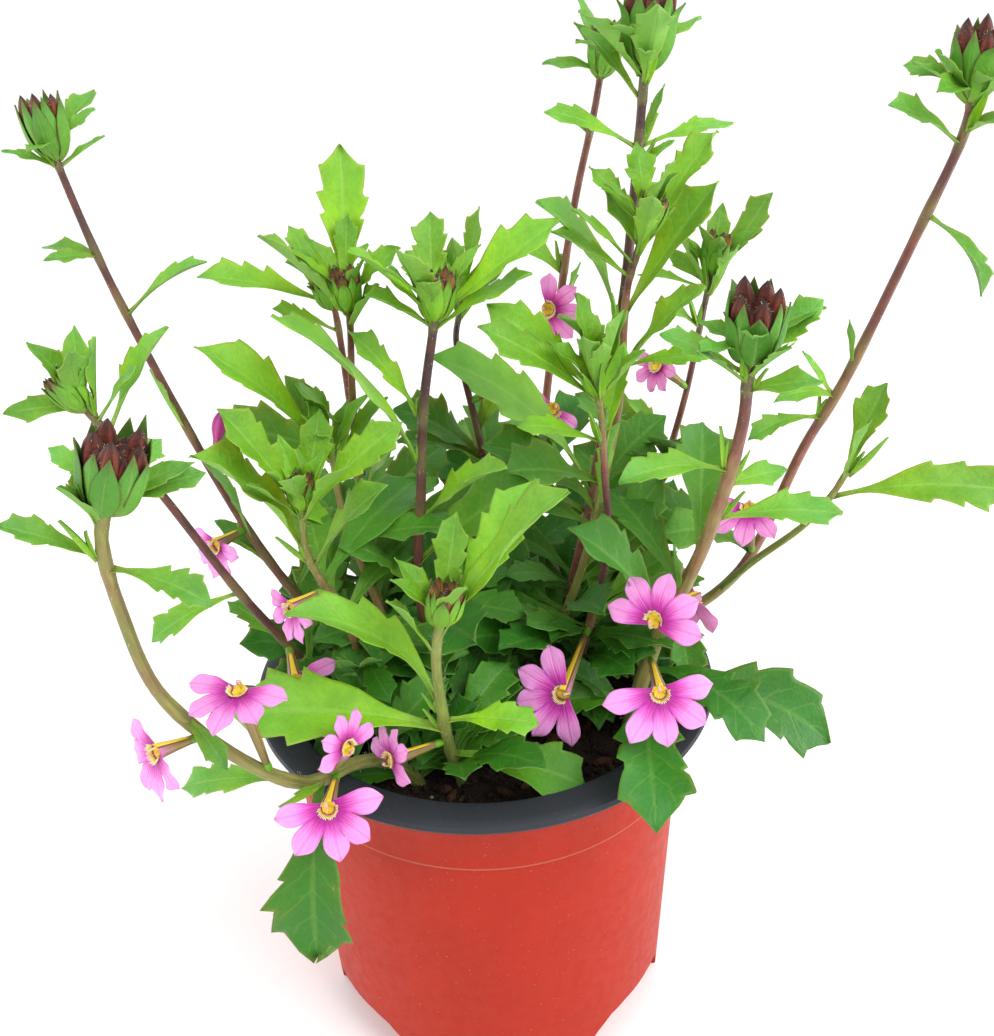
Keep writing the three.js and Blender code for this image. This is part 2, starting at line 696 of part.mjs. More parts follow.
// How far the fan stands forward of the throat, as the petals first rise and then curl back.
function fanLift(share) {
  return 3.2 * share - 2.4 * share * share;
}

// A flower: a slim tube from beside its stem to the throat, and the fan that faces its own way there.
function flowerSolid([stemName, along, azimuth, lift, length, face, roll, size]) {
  const { point, tangent, radius } = stemPlace(STEMS[stemName], along);
  const ahead = direction(azimuth, lift);
  const cosine = Math.abs(ahead.dot(tangent));
  const sine = Math.sqrt(1 - cosine * cosine);
  const base = (radius + GAP + TUBE_RADIUS * cosine) / sine;
  const tube = new THREE.CylinderGeometry(THROAT_RADIUS, TUBE_RADIUS, length - base, STEM_SIDES, 1);
  tube.rotateX(Math.PI / 2).translate(0, 0, (length + base) / 2);
  tube.applyMatrix4(facingMatrix(point, ahead));
  const throat = point.clone().addScaledVector(ahead, length - 0.9);
  const fan = fanSolid(size).rotate([0, 0, roll]);
  return solidOf(tube).add(fan.transform(facingMatrix(throat, direction(azimuth, face)).elements));
}

// A frame whose Z axis points ahead and whose X axis is level.
function facingMatrix(origin, ahead) {
  const side = new THREE.Vector3().crossVectors(UP, ahead).normalize();
  const above = new THREE.Vector3().crossVectors(ahead, side);
  return new THREE.Matrix4().makeBasis(side, above, ahead).setPosition(origin);
}

// A flower that hasn't opened: a slim upright club.
function closedFlowerSolid({ stem, along, azimuth, lift, length, radius }) {
  const { point, radius: stemRadius } = stemPlace(STEMS[stem], along);
  const ahead = direction(azimuth, lift);
  const profile = [[0, 0], [0.5, 0], [0.55, 0.45], [1, 0.7], [0.8, 0.88], [0, 1]]
    .map(([wide, high]) => new THREE.Vector2(wide * radius, high * length));
  const club = new THREE.LatheGeometry(profile, STEM_SIDES).rotateX(Math.PI / 2);
  const turn = new THREE.Quaternion().setFromUnitVectors(UP, ahead);
  const start = point.clone().addScaledVector(direction(azimuth, 0), stemRadius + radius / 2 + GAP);
  return solidOf(club.applyMatrix4(new THREE.Matrix4().compose(start, turn, new THREE.Vector3(1, 1, 1))));
}

const plant = new THREE.Group();

function addMesh(name, solid, colour, roughness) {
  const material = new THREE.MeshStandardMaterial({ color: colour, roughness, metalness: 0 });
  const mesh = new THREE.Mesh(geometryOf(solid), material);
  mesh.name = name;
  plant.add(mesh);
}

// The pot, and the stems with the holes that they stand in.
addMesh("pot", place("pot", potSolid()), 0xd4492f, 0.45);
const holes = [];
const greens = {};
for (const [name, stem] of Object.entries(STEMS)) {
  greens[name] = [place(name, tubeSolid(stem), true)];
  holes.push(tubeSolid(stem, GAP));
  if (stem.branch) {
    greens[name].push(place(name, tubeSolid(stem.branch), true));
  }
}
addMesh("soil", place("soil", soilSolid(holes)), 0x2b211b, 0.95);

// The heads and the flowers come before the leaves, which give way to them.
for (const [name, stem] of Object.entries(STEMS)) {
  if (stem.head > 0) {
    greens[name].push(place(name, cupSolid(stem)));
    addMesh(`buds_${name}`, place(`buds_${name}`, budSolid(stem)), 0x5a2a22, 0.7);
  }
}
FLOWERS.forEach((row, i) => {
  const name = `flower_${String(i + 1).padStart(2, "0")}`;
  addMesh(name, place(name, flowerSolid(row)), 0xf07fd8, 0.55);
});
addMesh("flower_closed", place("flower_closed", closedFlowerSolid(CLOSED_FLOWER)), 0xd0307e, 0.5);

for (const [name, stem] of Object.entries(STEMS)) {
  stem.leaves.forEach((row) => greens[name].push(growLeaf(name, stem, row)));
  if (stem.branch) {
    stem.branch.leaves.forEach((row) => greens[name].push(growLeaf(name, stem.branch, row)));
  }
  addMesh(`leafy_stem_${name}`, largestBody(joined(greens[name].filter(Boolean))), 0x5fa832, 0.55);
}

export default plant;
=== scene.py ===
"""A fan flower in a two-tone nursery pot.

Lengths in the tables are millimetres, and meshes are made in metres. The origin is the centre
of the pot's underside, +Z is up and the pot's front faces -Y.
"""

import logging
import math
import random
from collections.abc import Callable, Sequence
from dataclasses import dataclass, field
from enum import Enum
from functools import cache

import bpy
from bpy.types import Material, Node, NodeSocket, NodeTree, Object
from mathutils import Matrix, Vector, noise
from mathutils.kdtree import KDTree


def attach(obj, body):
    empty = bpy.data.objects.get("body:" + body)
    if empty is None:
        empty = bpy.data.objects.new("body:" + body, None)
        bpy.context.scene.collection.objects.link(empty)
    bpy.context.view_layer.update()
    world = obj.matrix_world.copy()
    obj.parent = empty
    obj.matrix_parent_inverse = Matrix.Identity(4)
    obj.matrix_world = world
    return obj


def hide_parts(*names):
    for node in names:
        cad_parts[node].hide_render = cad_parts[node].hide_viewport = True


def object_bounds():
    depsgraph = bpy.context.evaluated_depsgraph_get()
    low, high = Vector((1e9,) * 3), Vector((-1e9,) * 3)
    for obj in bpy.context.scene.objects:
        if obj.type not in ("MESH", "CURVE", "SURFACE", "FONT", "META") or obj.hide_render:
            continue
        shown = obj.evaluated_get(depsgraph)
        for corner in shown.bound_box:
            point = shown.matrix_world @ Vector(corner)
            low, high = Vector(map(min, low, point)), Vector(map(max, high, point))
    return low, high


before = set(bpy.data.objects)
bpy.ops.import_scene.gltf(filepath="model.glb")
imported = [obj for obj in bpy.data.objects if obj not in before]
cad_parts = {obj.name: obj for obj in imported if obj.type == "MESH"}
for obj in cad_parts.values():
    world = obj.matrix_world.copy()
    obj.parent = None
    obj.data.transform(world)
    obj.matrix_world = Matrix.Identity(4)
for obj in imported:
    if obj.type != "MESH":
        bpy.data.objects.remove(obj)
CAD_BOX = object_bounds()

logging.basicConfig(level=logging.INFO, format="%(message)s")
LOG = logging.getLogger("fan_flower")

MM = 0.001
SEED = 7
UP = Vector((0, 0, 1))
NO_SLIP = Vector((0, 0, 0))

# Towards the viewer, from where the flowers are seen
OPEN_SIDE = Vector((0, -0.84, 0.54))

# Sizes of the pot and its soil, in millimetres
POT_HEIGHT = 97
LIP_RADIUS = 55
NECK_RADIUS = 48.5
BASE_RADIUS = 43.4
WALL = 1.6
INNER_TAPER = 0.4
LIP_DEPTH = 2.8
LIP_EDGE = 1.2
SEAM_HEIGHT = 78
SEAM_STEP = 0.8
NOTCH_BITE = 0.8
NOTCH_REACH = 12
SOIL_LEVEL = 86

# How far inside the object's box added tips stay, in millimetres
BOX_MARGIN = 2

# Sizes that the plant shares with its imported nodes, in millimetres and degrees
GAP = 0.35
BLADE_THICKNESS = 0.7
BLADE_SLENDERNESS = 0.16
FACE_TURN = 25
STEM_STEP = 20
SINK = 10
ROOT_OFFSET = 0.45
SMALL_LEAF = 16
SMALL_WIDENING = 1.25
TIP_WIDTH = 0.05
HEAD_RADIUS = 3
PETAL_LENGTH = 12
PETAL_HALF_WIDTH = 1.9
PETAL_SPREAD = 44
THROAT_RADIUS = 1.7
TUBE_INSET = 0.9
FAN_RISE = 3.2
FAN_FALL = 2.4

# Teeth of the leaves: shares of the leaf's span, and factors drawn for each edge or tooth
TOOTH_RISE = 0.11
TOOTH_FALL = 0.016
TOOTH_LEAN = 0.04
TOOTH_STEPS = (-0.09, -0.045, -0.015, 0, TOOTH_FALL)
EDGE_SHIFT = 0.045
TOOTH_SHIFT = 0.02
TOOTH_HOLLOW = (0.7, 1.5)
TOOTH_SCALE = (0.5, 1.35)
MISSING_TOOTH_CHANCE = 0.3
LEAF_STEPS = 14
CLOSEST_STEPS = 0.006

# Blades: the columns of points across them, and how they thin out and curve over the width
BLADE_COLUMNS = (-1, -0.86, -0.6, -0.3, 0, 0.3, 0.6, 0.86, 1)
EDGE_THINNING = 0.7
RIB_NARROWNESS = 3
HOLLOW_POWER = 1.25
LEAN_POWER = 4

# How finely a stem's line is measured, and searched for leaves that come too near
MEASURING_STEPS = 200
SEARCH_STEPS = 80
TANGENT_STEP = 1e-4

# Materials of the leafy stems and of the flowers, by their place in the piece's list
LEAF, STEM, DOWN, BRACT = 0, 1, 2, 3
PETAL, TUBE, FRINGE, CALYX = 0, 1, 2, 3

Range = tuple[float, float]
Triple = tuple[float, float, float]
Mark = tuple[float, float, float, float]
NO_MARK = (0, 0, 0, 0)


@dataclass(frozen=True)
class Shoot:
    """A stem or a side branch.

    Its route runs from the soil to its head, and its radii are those at both ends. A head
    of 0 is none. It browns at its foot, middle and top, and its leaves' green is more or
    less cool. Each leaf has its share along the stem, azimuth, lift of its chord, span,
    droop and width.
    """

    route: tuple[Triple, ...]
    radii: Range
    browning: Triple
    coolness: float
    leaves: tuple[tuple[float, ...], ...]
    head: float = 0
    branch: "Shoot | None" = None


STEMS = {
    "far_left": Shoot(
        route=(
            (-22, 4, 86), (-43, -4, 124), (-58, 2, 151), (-74, 8, 192), (-81, 10, 217),
            (-82, 10, 225),
        ),
        radii=(1.3, 0.9), head=1.2, browning=(0.75, 0.8, 0.95), coolness=0.7,
        leaves=(
            (0.84, -165, 25, 11, 25, 0.6), (0.84, 20, 30, 11, 15, 0.6),
            (0.66, 155, 5, 15, 20, 0.8), (0.66, -140, 15, 12, 20, 0.8),
            (0.58, -15, 35, 24, 35, 0.7), (0.46, -145, 70, 16, -10, 0.6),
            (0.3, -150, 70, 23, 20, 0.9), (0.26, 155, 30, 15, 20, 0.9), (0.2, 10, 45, 32, 25, 1),
            (0.12, 100, 30, 40, 30, 1.2), (0.08, 200, 25, 30, 35, 1.3),
        ),
    ),
    "left_front": Shoot(
        route=(
            (-16, -28, 86), (-21, -32, 96), (-28, -39, 102), (-38, -47, 104), (-50, -52, 116),
            (-61, -57, 136), (-64, -60, 157), (-64, -62, 173), (-60, -64, 184),
        ),
        radii=(1.8, 1.4), head=1.6, browning=(0.15, 0.32, 0.4), coolness=0.75,
        leaves=(
            (0.84, -170, 30, 18, 15, 1.1), (0.95, 15, 15, 17, 20, 1.1),
            (0.82, -15, -15, 19, 40, 1.1), (0.92, -120, 55, 14, 10, 1.1),
            (0.9, 120, 60, 15, 10, 1.1), (0.58, -45, -45, 12, 20, 1),
            (0.34, -98, -65, 38, 50, 1.6), (0.4, 170, -15, 25, 20, 1),
        ),
    ),
    "left_middle": Shoot(
        route=(
            (-34, -6, 86), (-41, -12, 109), (-52, -18, 133), (-63, -24, 161), (-70, -27, 176),
            (-75, -28, 185),
        ),
        radii=(1.3, 0.9), head=0.9, browning=(0.8, 0.85, 0.9), coolness=0.45,
        leaves=(
            (0.9, 0, 80, 17, 5, 1), (0.96, -165, 5, 15, 15, 1), (0.82, 10, 55, 25, 20, 1),
            (0.88, -20, 50, 17, 10, 0.9), (0.4, -170, -25, 22, 30, 1.1),
            (0.26, 150, 25, 17, 20, 1.1), (0.1, -150, 15, 26, 30, 1.4),
        ),
    ),
    "upright_left": Shoot(
        route=(
            (-20, 12, 86), (-26, 2, 128), (-26, 0, 150), (-25, -4, 174), (-24, -5, 188),
            (-24, -6, 195),
        ),
        radii=(1.2, 0.8), head=0.9, browning=(0.3, 0.3, 0.9), coolness=0.15,
        leaves=(
            (0.9, 90, 70, 34, 10, 1), (0.88, -145, 50, 27, 15, 1.1), (0.93, 155, 55, 17, 10, 1),
            (0.82, -40, 50, 14, 10, 1), (0.48, -140, 55, 23, 20, 1), (0.34, -30, 60, 24, 20, 1),
            (0.12, -80, 35, 34, 40, 1.4), (0.08, 60, 40, 36, 35, 1.3),
        ),
    ),
    "upright_left_back": Shoot(
        route=(
            (-30, 22, 86), (-27, 17, 131), (-28, 16, 158), (-29, 15, 182), (-30, 14, 188),
        ),
        radii=(1.2, 0.8), head=0.8, browning=(0.5, 0.8, 0.7), coolness=0.2,
        leaves=(
            (0.9, -175, 25, 29, 20, 1), (0.87, 130, 55, 21, 10, 1), (0.72, -155, 35, 17, 20, 1),
            (0.2, -165, 40, 26, 35, 1.3), (0.12, 90, 25, 34, 35, 1.3),
        ),
    ),
    "upright_middle": Shoot(
        route=(
            (-8, -4, 86), (-14, -6, 122), (-12, -8, 149), (-10, -9, 171), (-7, -10, 188),
            (-6, -10, 194),
        ),
        radii=(1.4, 1.1), head=1, browning=(0.65, 0.9, 1.0), coolness=0.15,
        leaves=(
            (0.91, -160, 55, 23, 15, 1.1), (0.86, -110, 65, 23, 10, 1.1),
            (0.84, -165, 45, 17, 15, 1), (0.89, 90, 60, 23, 5, 1), (0.88, 5, 45, 32, 10, 1.1),
            (0.82, -10, 30, 23, 20, 1), (0.48, -165, 55, 48, 30, 1), (0.58, 165, 55, 24, 20, 0.9),
            (0.36, -25, 40, 27, 20, 1.2), (0.14, -70, 30, 38, 40, 1.4),
            (0.1, 150, 35, 34, 35, 1.3),
        ),
    ),
    "upright_middle_back": Shoot(
        route=(
            (2, 24, 86), (3, 22, 132), (1, 20, 150), (-2, 18, 168), (-3, 16, 177), (-1, 15, 186),
        ),
        radii=(1.1, 0.8), head=0, browning=(0.7, 0.85, 1.0), coolness=0.2,
        leaves=(
            (0.96, 35, 75, 22, 5, 0.7), (0.94, -105, 80, 18, 5, 0.8), (0.9, -20, 50, 17, 15, 0.9),
            (0.92, 130, 65, 16, 10, 0.8), (0.42, 25, 35, 16, 20, 1), (0.2, -60, 40, 34, 35, 1.3),
            (0.12, 110, 30, 34, 35, 1.3), (0.08, 20, 35, 32, 35, 1.3),
        ),
    ),
    "tall_back": Shoot(
        route=(
            (12, 32, 86), (17, 32, 148), (21, 32, 177), (25, 32, 202), (29, 32, 220),
            (31, 31, 232),
        ),
        radii=(1.2, 0.9), head=1, browning=(0.6, 0.65, 0.8), coolness=0.7,
        leaves=(
            (0.97, -165, 10, 13, 20, 0.8), (0.95, 60, 45, 12, 10, 0.9),
            (0.4, -35, 65, 13, -10, 0.7), (0.46, 165, 35, 16, 25, 1), (0.76, 155, 35, 9, 20, 0.7),
            (0.14, 60, 30, 32, 35, 1.3), (0.1, 150, 35, 32, 35, 1.3),
        ),
    ),
    "tall_middle": Shoot(
        route=(
            (17, 16, 86), (22, 12, 112), (27, 11, 138), (33, 9, 181), (36, 10, 213), (37, 11, 226),
            (38, 12, 238),
        ),
        radii=(1.5, 1.1), head=1.5, browning=(0.4, 0.8, 1.0), coolness=0.5,
        leaves=(
            (0.72, -170, 25, 21, 25, 0.9), (0.72, 10, 10, 20, 25, 0.9),
            (0.68, -30, 45, 11, 10, 0.8), (0.74, 20, 65, 12, -10, 0.6),
            (0.5, -160, 60, 36, 45, 1.1), (0.34, -165, 45, 51, 40, 1.1),
            (0.92, -155, 52, 20, 10, 1.4), (0.9, -85, 55, 20, 5, 1.4),
            (0.86, 160, 48, 18, 10, 1.2), (0.28, 25, 40, 20, 20, 1.3), (0.12, 80, 30, 32, 35, 1.3),
        ),
    ),
    "leafy_right": Shoot(
        route=(
            (10, 2, 86), (22, 1, 118), (28, 1, 143), (32, 0, 166), (33, -1, 190), (35, -2, 200),
            (37, -3, 207),
        ),
        radii=(1.2, 0.8), head=0.8, browning=(0.2, 0.4, 0.95), coolness=0.2,
        leaves=(
            (0.64, 10, 55, 33, 10, 1.1), (0.88, 25, 65, 27, 10, 1.1), (0.84, -70, 58, 20, 5, 0.9),
            (0.56, -20, 50, 26, 15, 1), (0.56, -10, 10, 19, 20, 1), (0.8, -160, 45, 19, 15, 1),
            (0.74, 170, 30, 20, 20, 1.1), (0.88, 150, 55, 14, 10, 1), (0.54, -150, 50, 24, 20, 1),
            (0.32, -65, 70, 26, 15, 0.9), (0.14, -75, 30, 30, 35, 1.3),
            (0.08, -140, 30, 30, 35, 1.3),
        ),
    ),
    "back_right": Shoot(
        route=(
            (31, 24, 86), (42, 26, 116), (45, 28, 129), (51, 29, 154), (54, 28, 174),
            (56, 27, 188),
        ),
        radii=(1.2, 0.8), head=0.9, browning=(0.5, 0.65, 0.95), coolness=0.35,
        leaves=(
            (0.9, -155, 60, 23, 10, 1), (0.91, 15, 55, 25, 5, 1), (0.88, -65, 62, 19, 5, 0.9),
            (0.9, -165, 20, 18, 25, 0.7), (0.92, 155, 35, 13, 15, 1),
            (0.78, -160, 35, 14, 20, 0.9), (0.48, 150, 50, 17, 20, 1),
            (0.16, -120, 40, 34, 35, 1.3), (0.12, 60, 30, 32, 35, 1.3),
        ),
    ),
    "far_right": Shoot(
        route=(
            (38, 10, 86), (43, 9, 99), (58, 8, 112), (66, 8, 124), (75, 8, 149), (83, 7, 167),
            (95, 6, 201), (101, 5, 220), (101, 4, 231),
        ),
        radii=(1.5, 1.2), head=1.4, browning=(0.2, 0.6, 0.85), coolness=0.6,
        leaves=(
            (0.96, 170, 30, 13, 15, 0.7), (0.86, -165, 30, 19, 30, 1.1),
            (0.88, -55, 25, 11, 20, 1.4), (0.76, -25, -50, 20, 60, 1.1),
            (0.6, -165, 0, 15, 50, 0.9), (0.56, -165, -10, 18, 50, 0.9),
            (0.64, -140, 75, 11, -10, 0.6), (0.6, 160, 50, 12, -10, 0.7),
            (0.94, -150, 55, 16, 5, 1.1), (0.93, -60, 58, 15, 5, 1.1),
        ),
        branch=Shoot(
            route=(
                (58, 8, 112), (64, 1, 124), (72, -7, 137), (77, -10, 146), (80, -11, 153),
            ),
            radii=(1, 0.8), browning=(0.1, 0.2, 0.4), coolness=0.4,
            leaves=(
                (0.96, 15, 70, 22, 10, 1.2), (0.76, -10, 5, 38, 30, 1),
                (0.9, -60, 70, 19, 10, 0.9),
            ),
        ),
    ),
    "right_front": Shoot(
        route=(
            (33, -14, 86), (39, -18, 116), (47, -22, 140), (51, -26, 159), (53, -29, 174),
            (53, -31, 185), (53, -33, 193),
        ),
        radii=(1.9, 1.3), head=1.5, browning=(0.3, 0.5, 0.95), coolness=0.75,
        leaves=(
            (0.88, 15, 40, 18, 10, 1.3), (0.84, 165, 25, 18, 20, 1.1),
            (0.84, -70, 40, 17, 10, 1.1), (0.82, -140, 36, 18, 10, 1),
            (0.78, -20, 15, 14, 20, 1.1), (0.54, -165, 5, 23, 45, 1.1),
            (0.42, -10, 5, 25, 25, 1.4), (0.2, -165, 45, 33, 35, 1.3),
            (0.26, -130, 75, 14, -10, 0.7), (0.5, 25, 0, 15, 20, 1), (0.08, -92, -4, 42, 70, 1.3),
            (0.08, -4, -18, 46, 70, 1.3), (0.12, -45, -6, 31, 80, 1.5),
        ),
    ),
    "inner_middle": Shoot(
        route=(
            (21, 2, 86), (25, -4, 111), (29, -7, 134), (28, -9, 155), (27, -11, 170),
            (26, -12, 175),
        ),
        radii=(1.2, 0.8), head=0, browning=(0.2, 0.9, 0.3), coolness=0.2,
        leaves=(
            (0.86, -170, 40, 32, 20, 1), (0.92, 170, 45, 30, 20, 1), (0.92, 150, 70, 23, 10, 1.1),
            (0.94, -35, 75, 21, 10, 1), (0.88, -30, 55, 17, 15, 0.9), (0.92, -115, 65, 19, 5, 0.9),
            (0.66, 50, 65, 24, 5, 0.8), (0.68, -160, 25, 21, 30, 1), (0.2, -165, 0, 22, 40, 1.1),
            (0.12, -60, 25, 28, 35, 1.3),
        ),
    ),
    "front_middle": Shoot(
        route=(
            (-6, -28, 86), (-8, -33, 100), (-9, -38, 117), (-9, -42, 132), (-7, -44, 143),
        ),
        radii=(1.5, 1.2), head=1, browning=(0.1, 0.15, 0.2), coolness=0.2,
        leaves=(
            (0.9, 65, 75, 24, 5, 1), (0.84, -10, 55, 44, 20, 1.1), (0.9, 25, 60, 36, 10, 1),
            (0.44, -170, 45, 42, 70, 1), (0.36, -160, 20, 45, 25, 1.3), (0.4, -15, 5, 20, 25, 1.3),
            (0.76, -150, 60, 20, 10, 1), (0.22, -15, -10, 30, 30, 1.4),
            (0.16, 60, 25, 32, 35, 1.4),
        ),
    ),
    "inner_left": Shoot(
        route=(
            (-24, -12, 86), (-30, -16, 124), (-34, -20, 137), (-36, -22, 147), (-35, -24, 159),
        ),
        radii=(1.2, 0.9), head=0.8, browning=(0.3, 0.5, 0.2), coolness=0.1,
        leaves=(
            (0.64, -160, 55, 36, 40, 1.1), (0.92, 180, 60, 28, 15, 1.1), (0.86, 70, 60, 24, 5, 1),
            (0.9, -125, 55, 17, 10, 1), (0.92, 10, 40, 28, 15, 1), (0.89, -50, 55, 26, 10, 0.9),
            (0.6, -25, 50, 30, 20, 1), (0.14, -110, 30, 28, 35, 1.3), (0.1, 175, 25, 28, 35, 1.3),
        ),
    ),
    "inner_left_back": Shoot(
        route=(
            (-16, -4, 86), (-24, -6, 122), (-27, -8, 136), (-29, -8, 143), (-30, -8, 155),
            (-30, -8, 162),
        ),
        radii=(1.1, 0.8), head=0, browning=(0.3, 0.5, 0.3), coolness=0.15,
        leaves=(
            (0.9, -175, 50, 39, 30, 1), (0.88, -145, 60, 21, 15, 1), (0.78, -15, 40, 19, 20, 1),
            (0.91, 25, 58, 28, 10, 1), (0.93, 140, 70, 21, 10, 0.9), (0.48, 160, 30, 17, 20, 1.1),
            (0.1, -60, 35, 32, 35, 1.3),
        ),
    ),
}

# Each flower: stem, share along it, azimuth, lift and length of its tube, lift of its face,
# turn of the fan from pointing down, and size.
FLOWERS = (
    ("left_front", 0.3, -90, 10, 14, 30, 10, 1.05),
    ("left_front", 0.55, -140, 8, 12, 10, -20, 0.95),
    ("left_front", 0.44, -110, 75, 25, 75, 0, 1),
    ("left_front", 0.32, -35, 60, 13, 10, 180, 0.8),
    ("front_middle", 0.3, -150, 0, 15, 20, 180, 0.8),
    ("left_middle", 0.26, -75, -10, 12, 10, 20, 0.9),
    ("inner_middle", 0.2, -110, -10, 23, 30, -70, 1.1),
    ("right_front", 0.24, -120, 10, 12, 35, 175, 1.05),
    ("right_front", 0.14, -94, 22, 28, 30, 10, 1.1),
    ("right_front", 0.24, 55, -25, 12, 10, 60, 0.9),
    ("far_right", 0.36, -110, 60, 20, 60, 0, 0.95),
    ("tall_back", 0.4, -115, 15, 7, 15, 90, 0.8),
    ("tall_back", 0.22, -75, 35, 8, 20, -40, 0.7),
    ("upright_middle_back", 0.5, -10, 35, 10, 20, 0, 0.75),
    ("back_right", 0.62, -150, 45, 13, 20, 0, 0.7),
    ("far_left", 0.32, -135, -10, 9, 10, 0, 0.8),
    ("inner_left", 0.42, -140, -5, 10, 10, 0, 0.75),
)
# The closed flower: stem, share along it, azimuth, lift, length and radius.
CLOSED_FLOWER = ("far_left", 0.42, -35, 70, 15, 1.5)

# Small turns, azimuth and lift, and shortenings that a leaf may have taken to stay clear.
TURNS = (
    (0, 0), (8, 0), (-8, 0), (0, 8), (0, -8), (16, 6), (-16, 6), (14, -8), (-14, -8), (0, 16),
    (0, -15), (28, 4), (-28, 4), (24, 16), (-24, 16), (40, 10), (-40, 10), (0, 26), (55, 14),
    (-55, 14),
)
SHORTENINGS = (1, 0.84, 0.68)


def direction(azimuth: float, lift: float) -> Vector:
    """Gives the unit vector of an azimuth and a lift.

    Args:
        azimuth: turn about Z from +X, in degrees.
        lift: angle above the level, in degrees.

    Returns:
        The unit vector.
    """
    flat = math.cos(math.radians(lift))
    turn = math.radians(azimuth)
    return Vector((flat * math.cos(turn), flat * math.sin(turn), math.sin(math.radians(lift))))


def blend_along(stops: Sequence[tuple[float, float]], share: float) -> float:
    """Reads a smooth line through a few stops.

    Args:
        stops: (share, value) pairs in rising order.
        share: where to read it.

    Returns:
        The value there.
    """
    if share <= stops[0][0]:
        return stops[0][1]
    for i, ((low, a), (high, b)) in enumerate(zip(stops, stops[1:])):
        if share <= high:
            step = high - low
            w = (share - low) / step
            start, end = slope_at(stops, i) * step, slope_at(stops, i + 1) * step
            bend = 3 * (b - a) - 2 * start - end
            return a + start * w + bend * w * w + (2 * (a - b) + start + end) * w * w * w
    return stops[-1][1]


def slope_at(stops: Sequence[tuple[float, float]], i: int) -> float:
    """Gives the slope of the smooth line at one of its stops."""
    (x0, y0), (x1, y1) = stops[max(i - 1, 0)], stops[min(i + 1, len(stops) - 1)]
    return (y1 - y0) / (x1 - x0)


@dataclass
class Skin:
    """Gathers closed lofts of points into the mesh of one piece.

    Each point carries a mark of four numbers and a place of three, which the materials read.
    """

    points: list[Vector] = field(default_factory=list)
    faces: list[tuple[int, ...]] = field(default_factory=list)
    slots: list[int] = field(default_factory=list)
    marks: list[Mark] = field(default_factory=list)
    places: list[Triple] = field(default_factory=list)

    def loft(
        self,
        rings: Sequence[Sequence[Vector]],
        slot: int,
        mark: Callable[[int, int], Mark],
        place: Callable[[int, int], Triple],
    ) -> None:
        """Adds a closed skin through rings of points, with a flat cap on both ends.

        Args:
            rings: the rings in order, each counter-clockwise as seen from the last one.
            slot: the material's place in the piece's list.
            mark: gives the mark of a point from its ring and its place in the ring.
            place: gives the place of a point likewise.
        """
        start = len(self.points)
        width = len(rings[0])
        for j, ring in enumerate(rings):
            self.points.extend(ring)
            self.marks.extend(mark(j, i) for i in range(width))
            self.places.extend(place(j, i) for i in range(width))
        for j in range(len(rings) - 1):
            low = start + j * width
            high = low + width
            for i in range(width):
                k = (i + 1) % width
                self.faces.append((low + i, low + k, high + k, high + i))
        last = start + (len(rings) - 1) * width
        self.faces.append(tuple(reversed(range(start, start + width))))
        self.faces.append(tuple(range(last, last + width)))
        self.slots.extend([slot] * ((len(rings) - 1) * width + 2))

    def finish(self, name: str, materials: Sequence[Material]) -> Object:
        """Makes the object.

        Args:
            name: the piece's name.
            materials: its materials, in the order of the slots.

        Returns:
            The new object, smooth shaded and linked to the scene.
        """
        mesh = bpy.data.meshes.new(name)
        mesh.from_pydata([point * MM for point in self.points], [], self.faces)
        for material in materials:
            mesh.materials.append(material)
        mesh.polygons.foreach_set("material_index", self.slots)
        mesh.polygons.foreach_set("use_smooth", [True] * len(self.faces))
        marks = mesh.attributes.new("growth", "FLOAT_COLOR", "POINT")
        marks.data.foreach_set("color", [number for mark in self.marks for number in mark])
        places = mesh.attributes.new("place", "FLOAT_VECTOR", "POINT")
        places.data.foreach_set("vector", [number for place in self.places for number in place])
        mesh.update()
        piece = bpy.data.objects.new(name, mesh)
        bpy.context.scene.collection.objects.link(piece)
        return piece


def ring_round(centre: Vector, side: Vector, above: Vector, radii: Sequence[float]) -> list[Vector]:
    """Sets points evenly round a centre.

    Args:
        centre: the middle of the ring.
        side: the unit vector of the first point.
        above: the unit vector a quarter turn on.
        radii: each point's distance from the centre.

    Returns:
        The points of the ring.
    """
    ring = []
    for i, radius in enumerate(radii):
        turn = math.tau * i / len(radii)
        ring.append(centre + side * (radius * math.cos(turn)) + above * (radius * math.sin(turn)))
    return ring


def spindle(
    skin: Skin,
    slot: int,
    line: Sequence[Vector],
    radii: Sequence[float],
    mark: Mark = NO_MARK,
    sides: int = 6,
    ribs: tuple[int, float] = (0, 0.0),
) -> None:
    """Adds a round body of changing radius along a line of points.

    Args:
        skin: where to add it.
        slot: its material.
        line: the middle points.
        radii: the radius at each of them.
        mark: the mark of all its points, whose last number becomes the share along the line.
        sides: points in each ring.
        ribs: how many ribs run along it, and how far they stand out as a share of the radius.
    """
    rings = []
    side = None
    for j, centre in enumerate(line):
        ahead = (line[min(j + 1, len(line) - 1)] - line[max(j - 1, 0)]).normalized()
        side = level_side(ahead) if side is None else (side - ahead * side.dot(ahead)).normalized()
        swell = [1 + ribs[1] * math.cos(math.tau * ribs[0] * i / sides) for i in range(sides)]
        rings.append(ring_round(centre, side, ahead.cross(side), [radii[j] * s for s in swell]))
    last = len(line) - 1
    skin.loft(
        rings,
        slot,
        lambda j, i: (*mark[:3], j / last),
        lambda j, i: (i / sides, j / last, 0.0),
    )


def inside_box(spot: Vector) -> bool:
    """Says whether a spot, in millimetres, is well inside the object's box."""
    low, high = CAD_BOX
    return all(
        low[i] / MM + BOX_MARGIN < spot[i] < high[i] / MM - BOX_MARGIN for i in range(3)
    )


def level_side(ahead: Vector) -> Vector:
    """Gives a unit vector square to a direction, level where it can be."""
    side = UP.cross(ahead)
    return side.normalized() if side.length > 1e-3 else Vector((1, 0, 0))


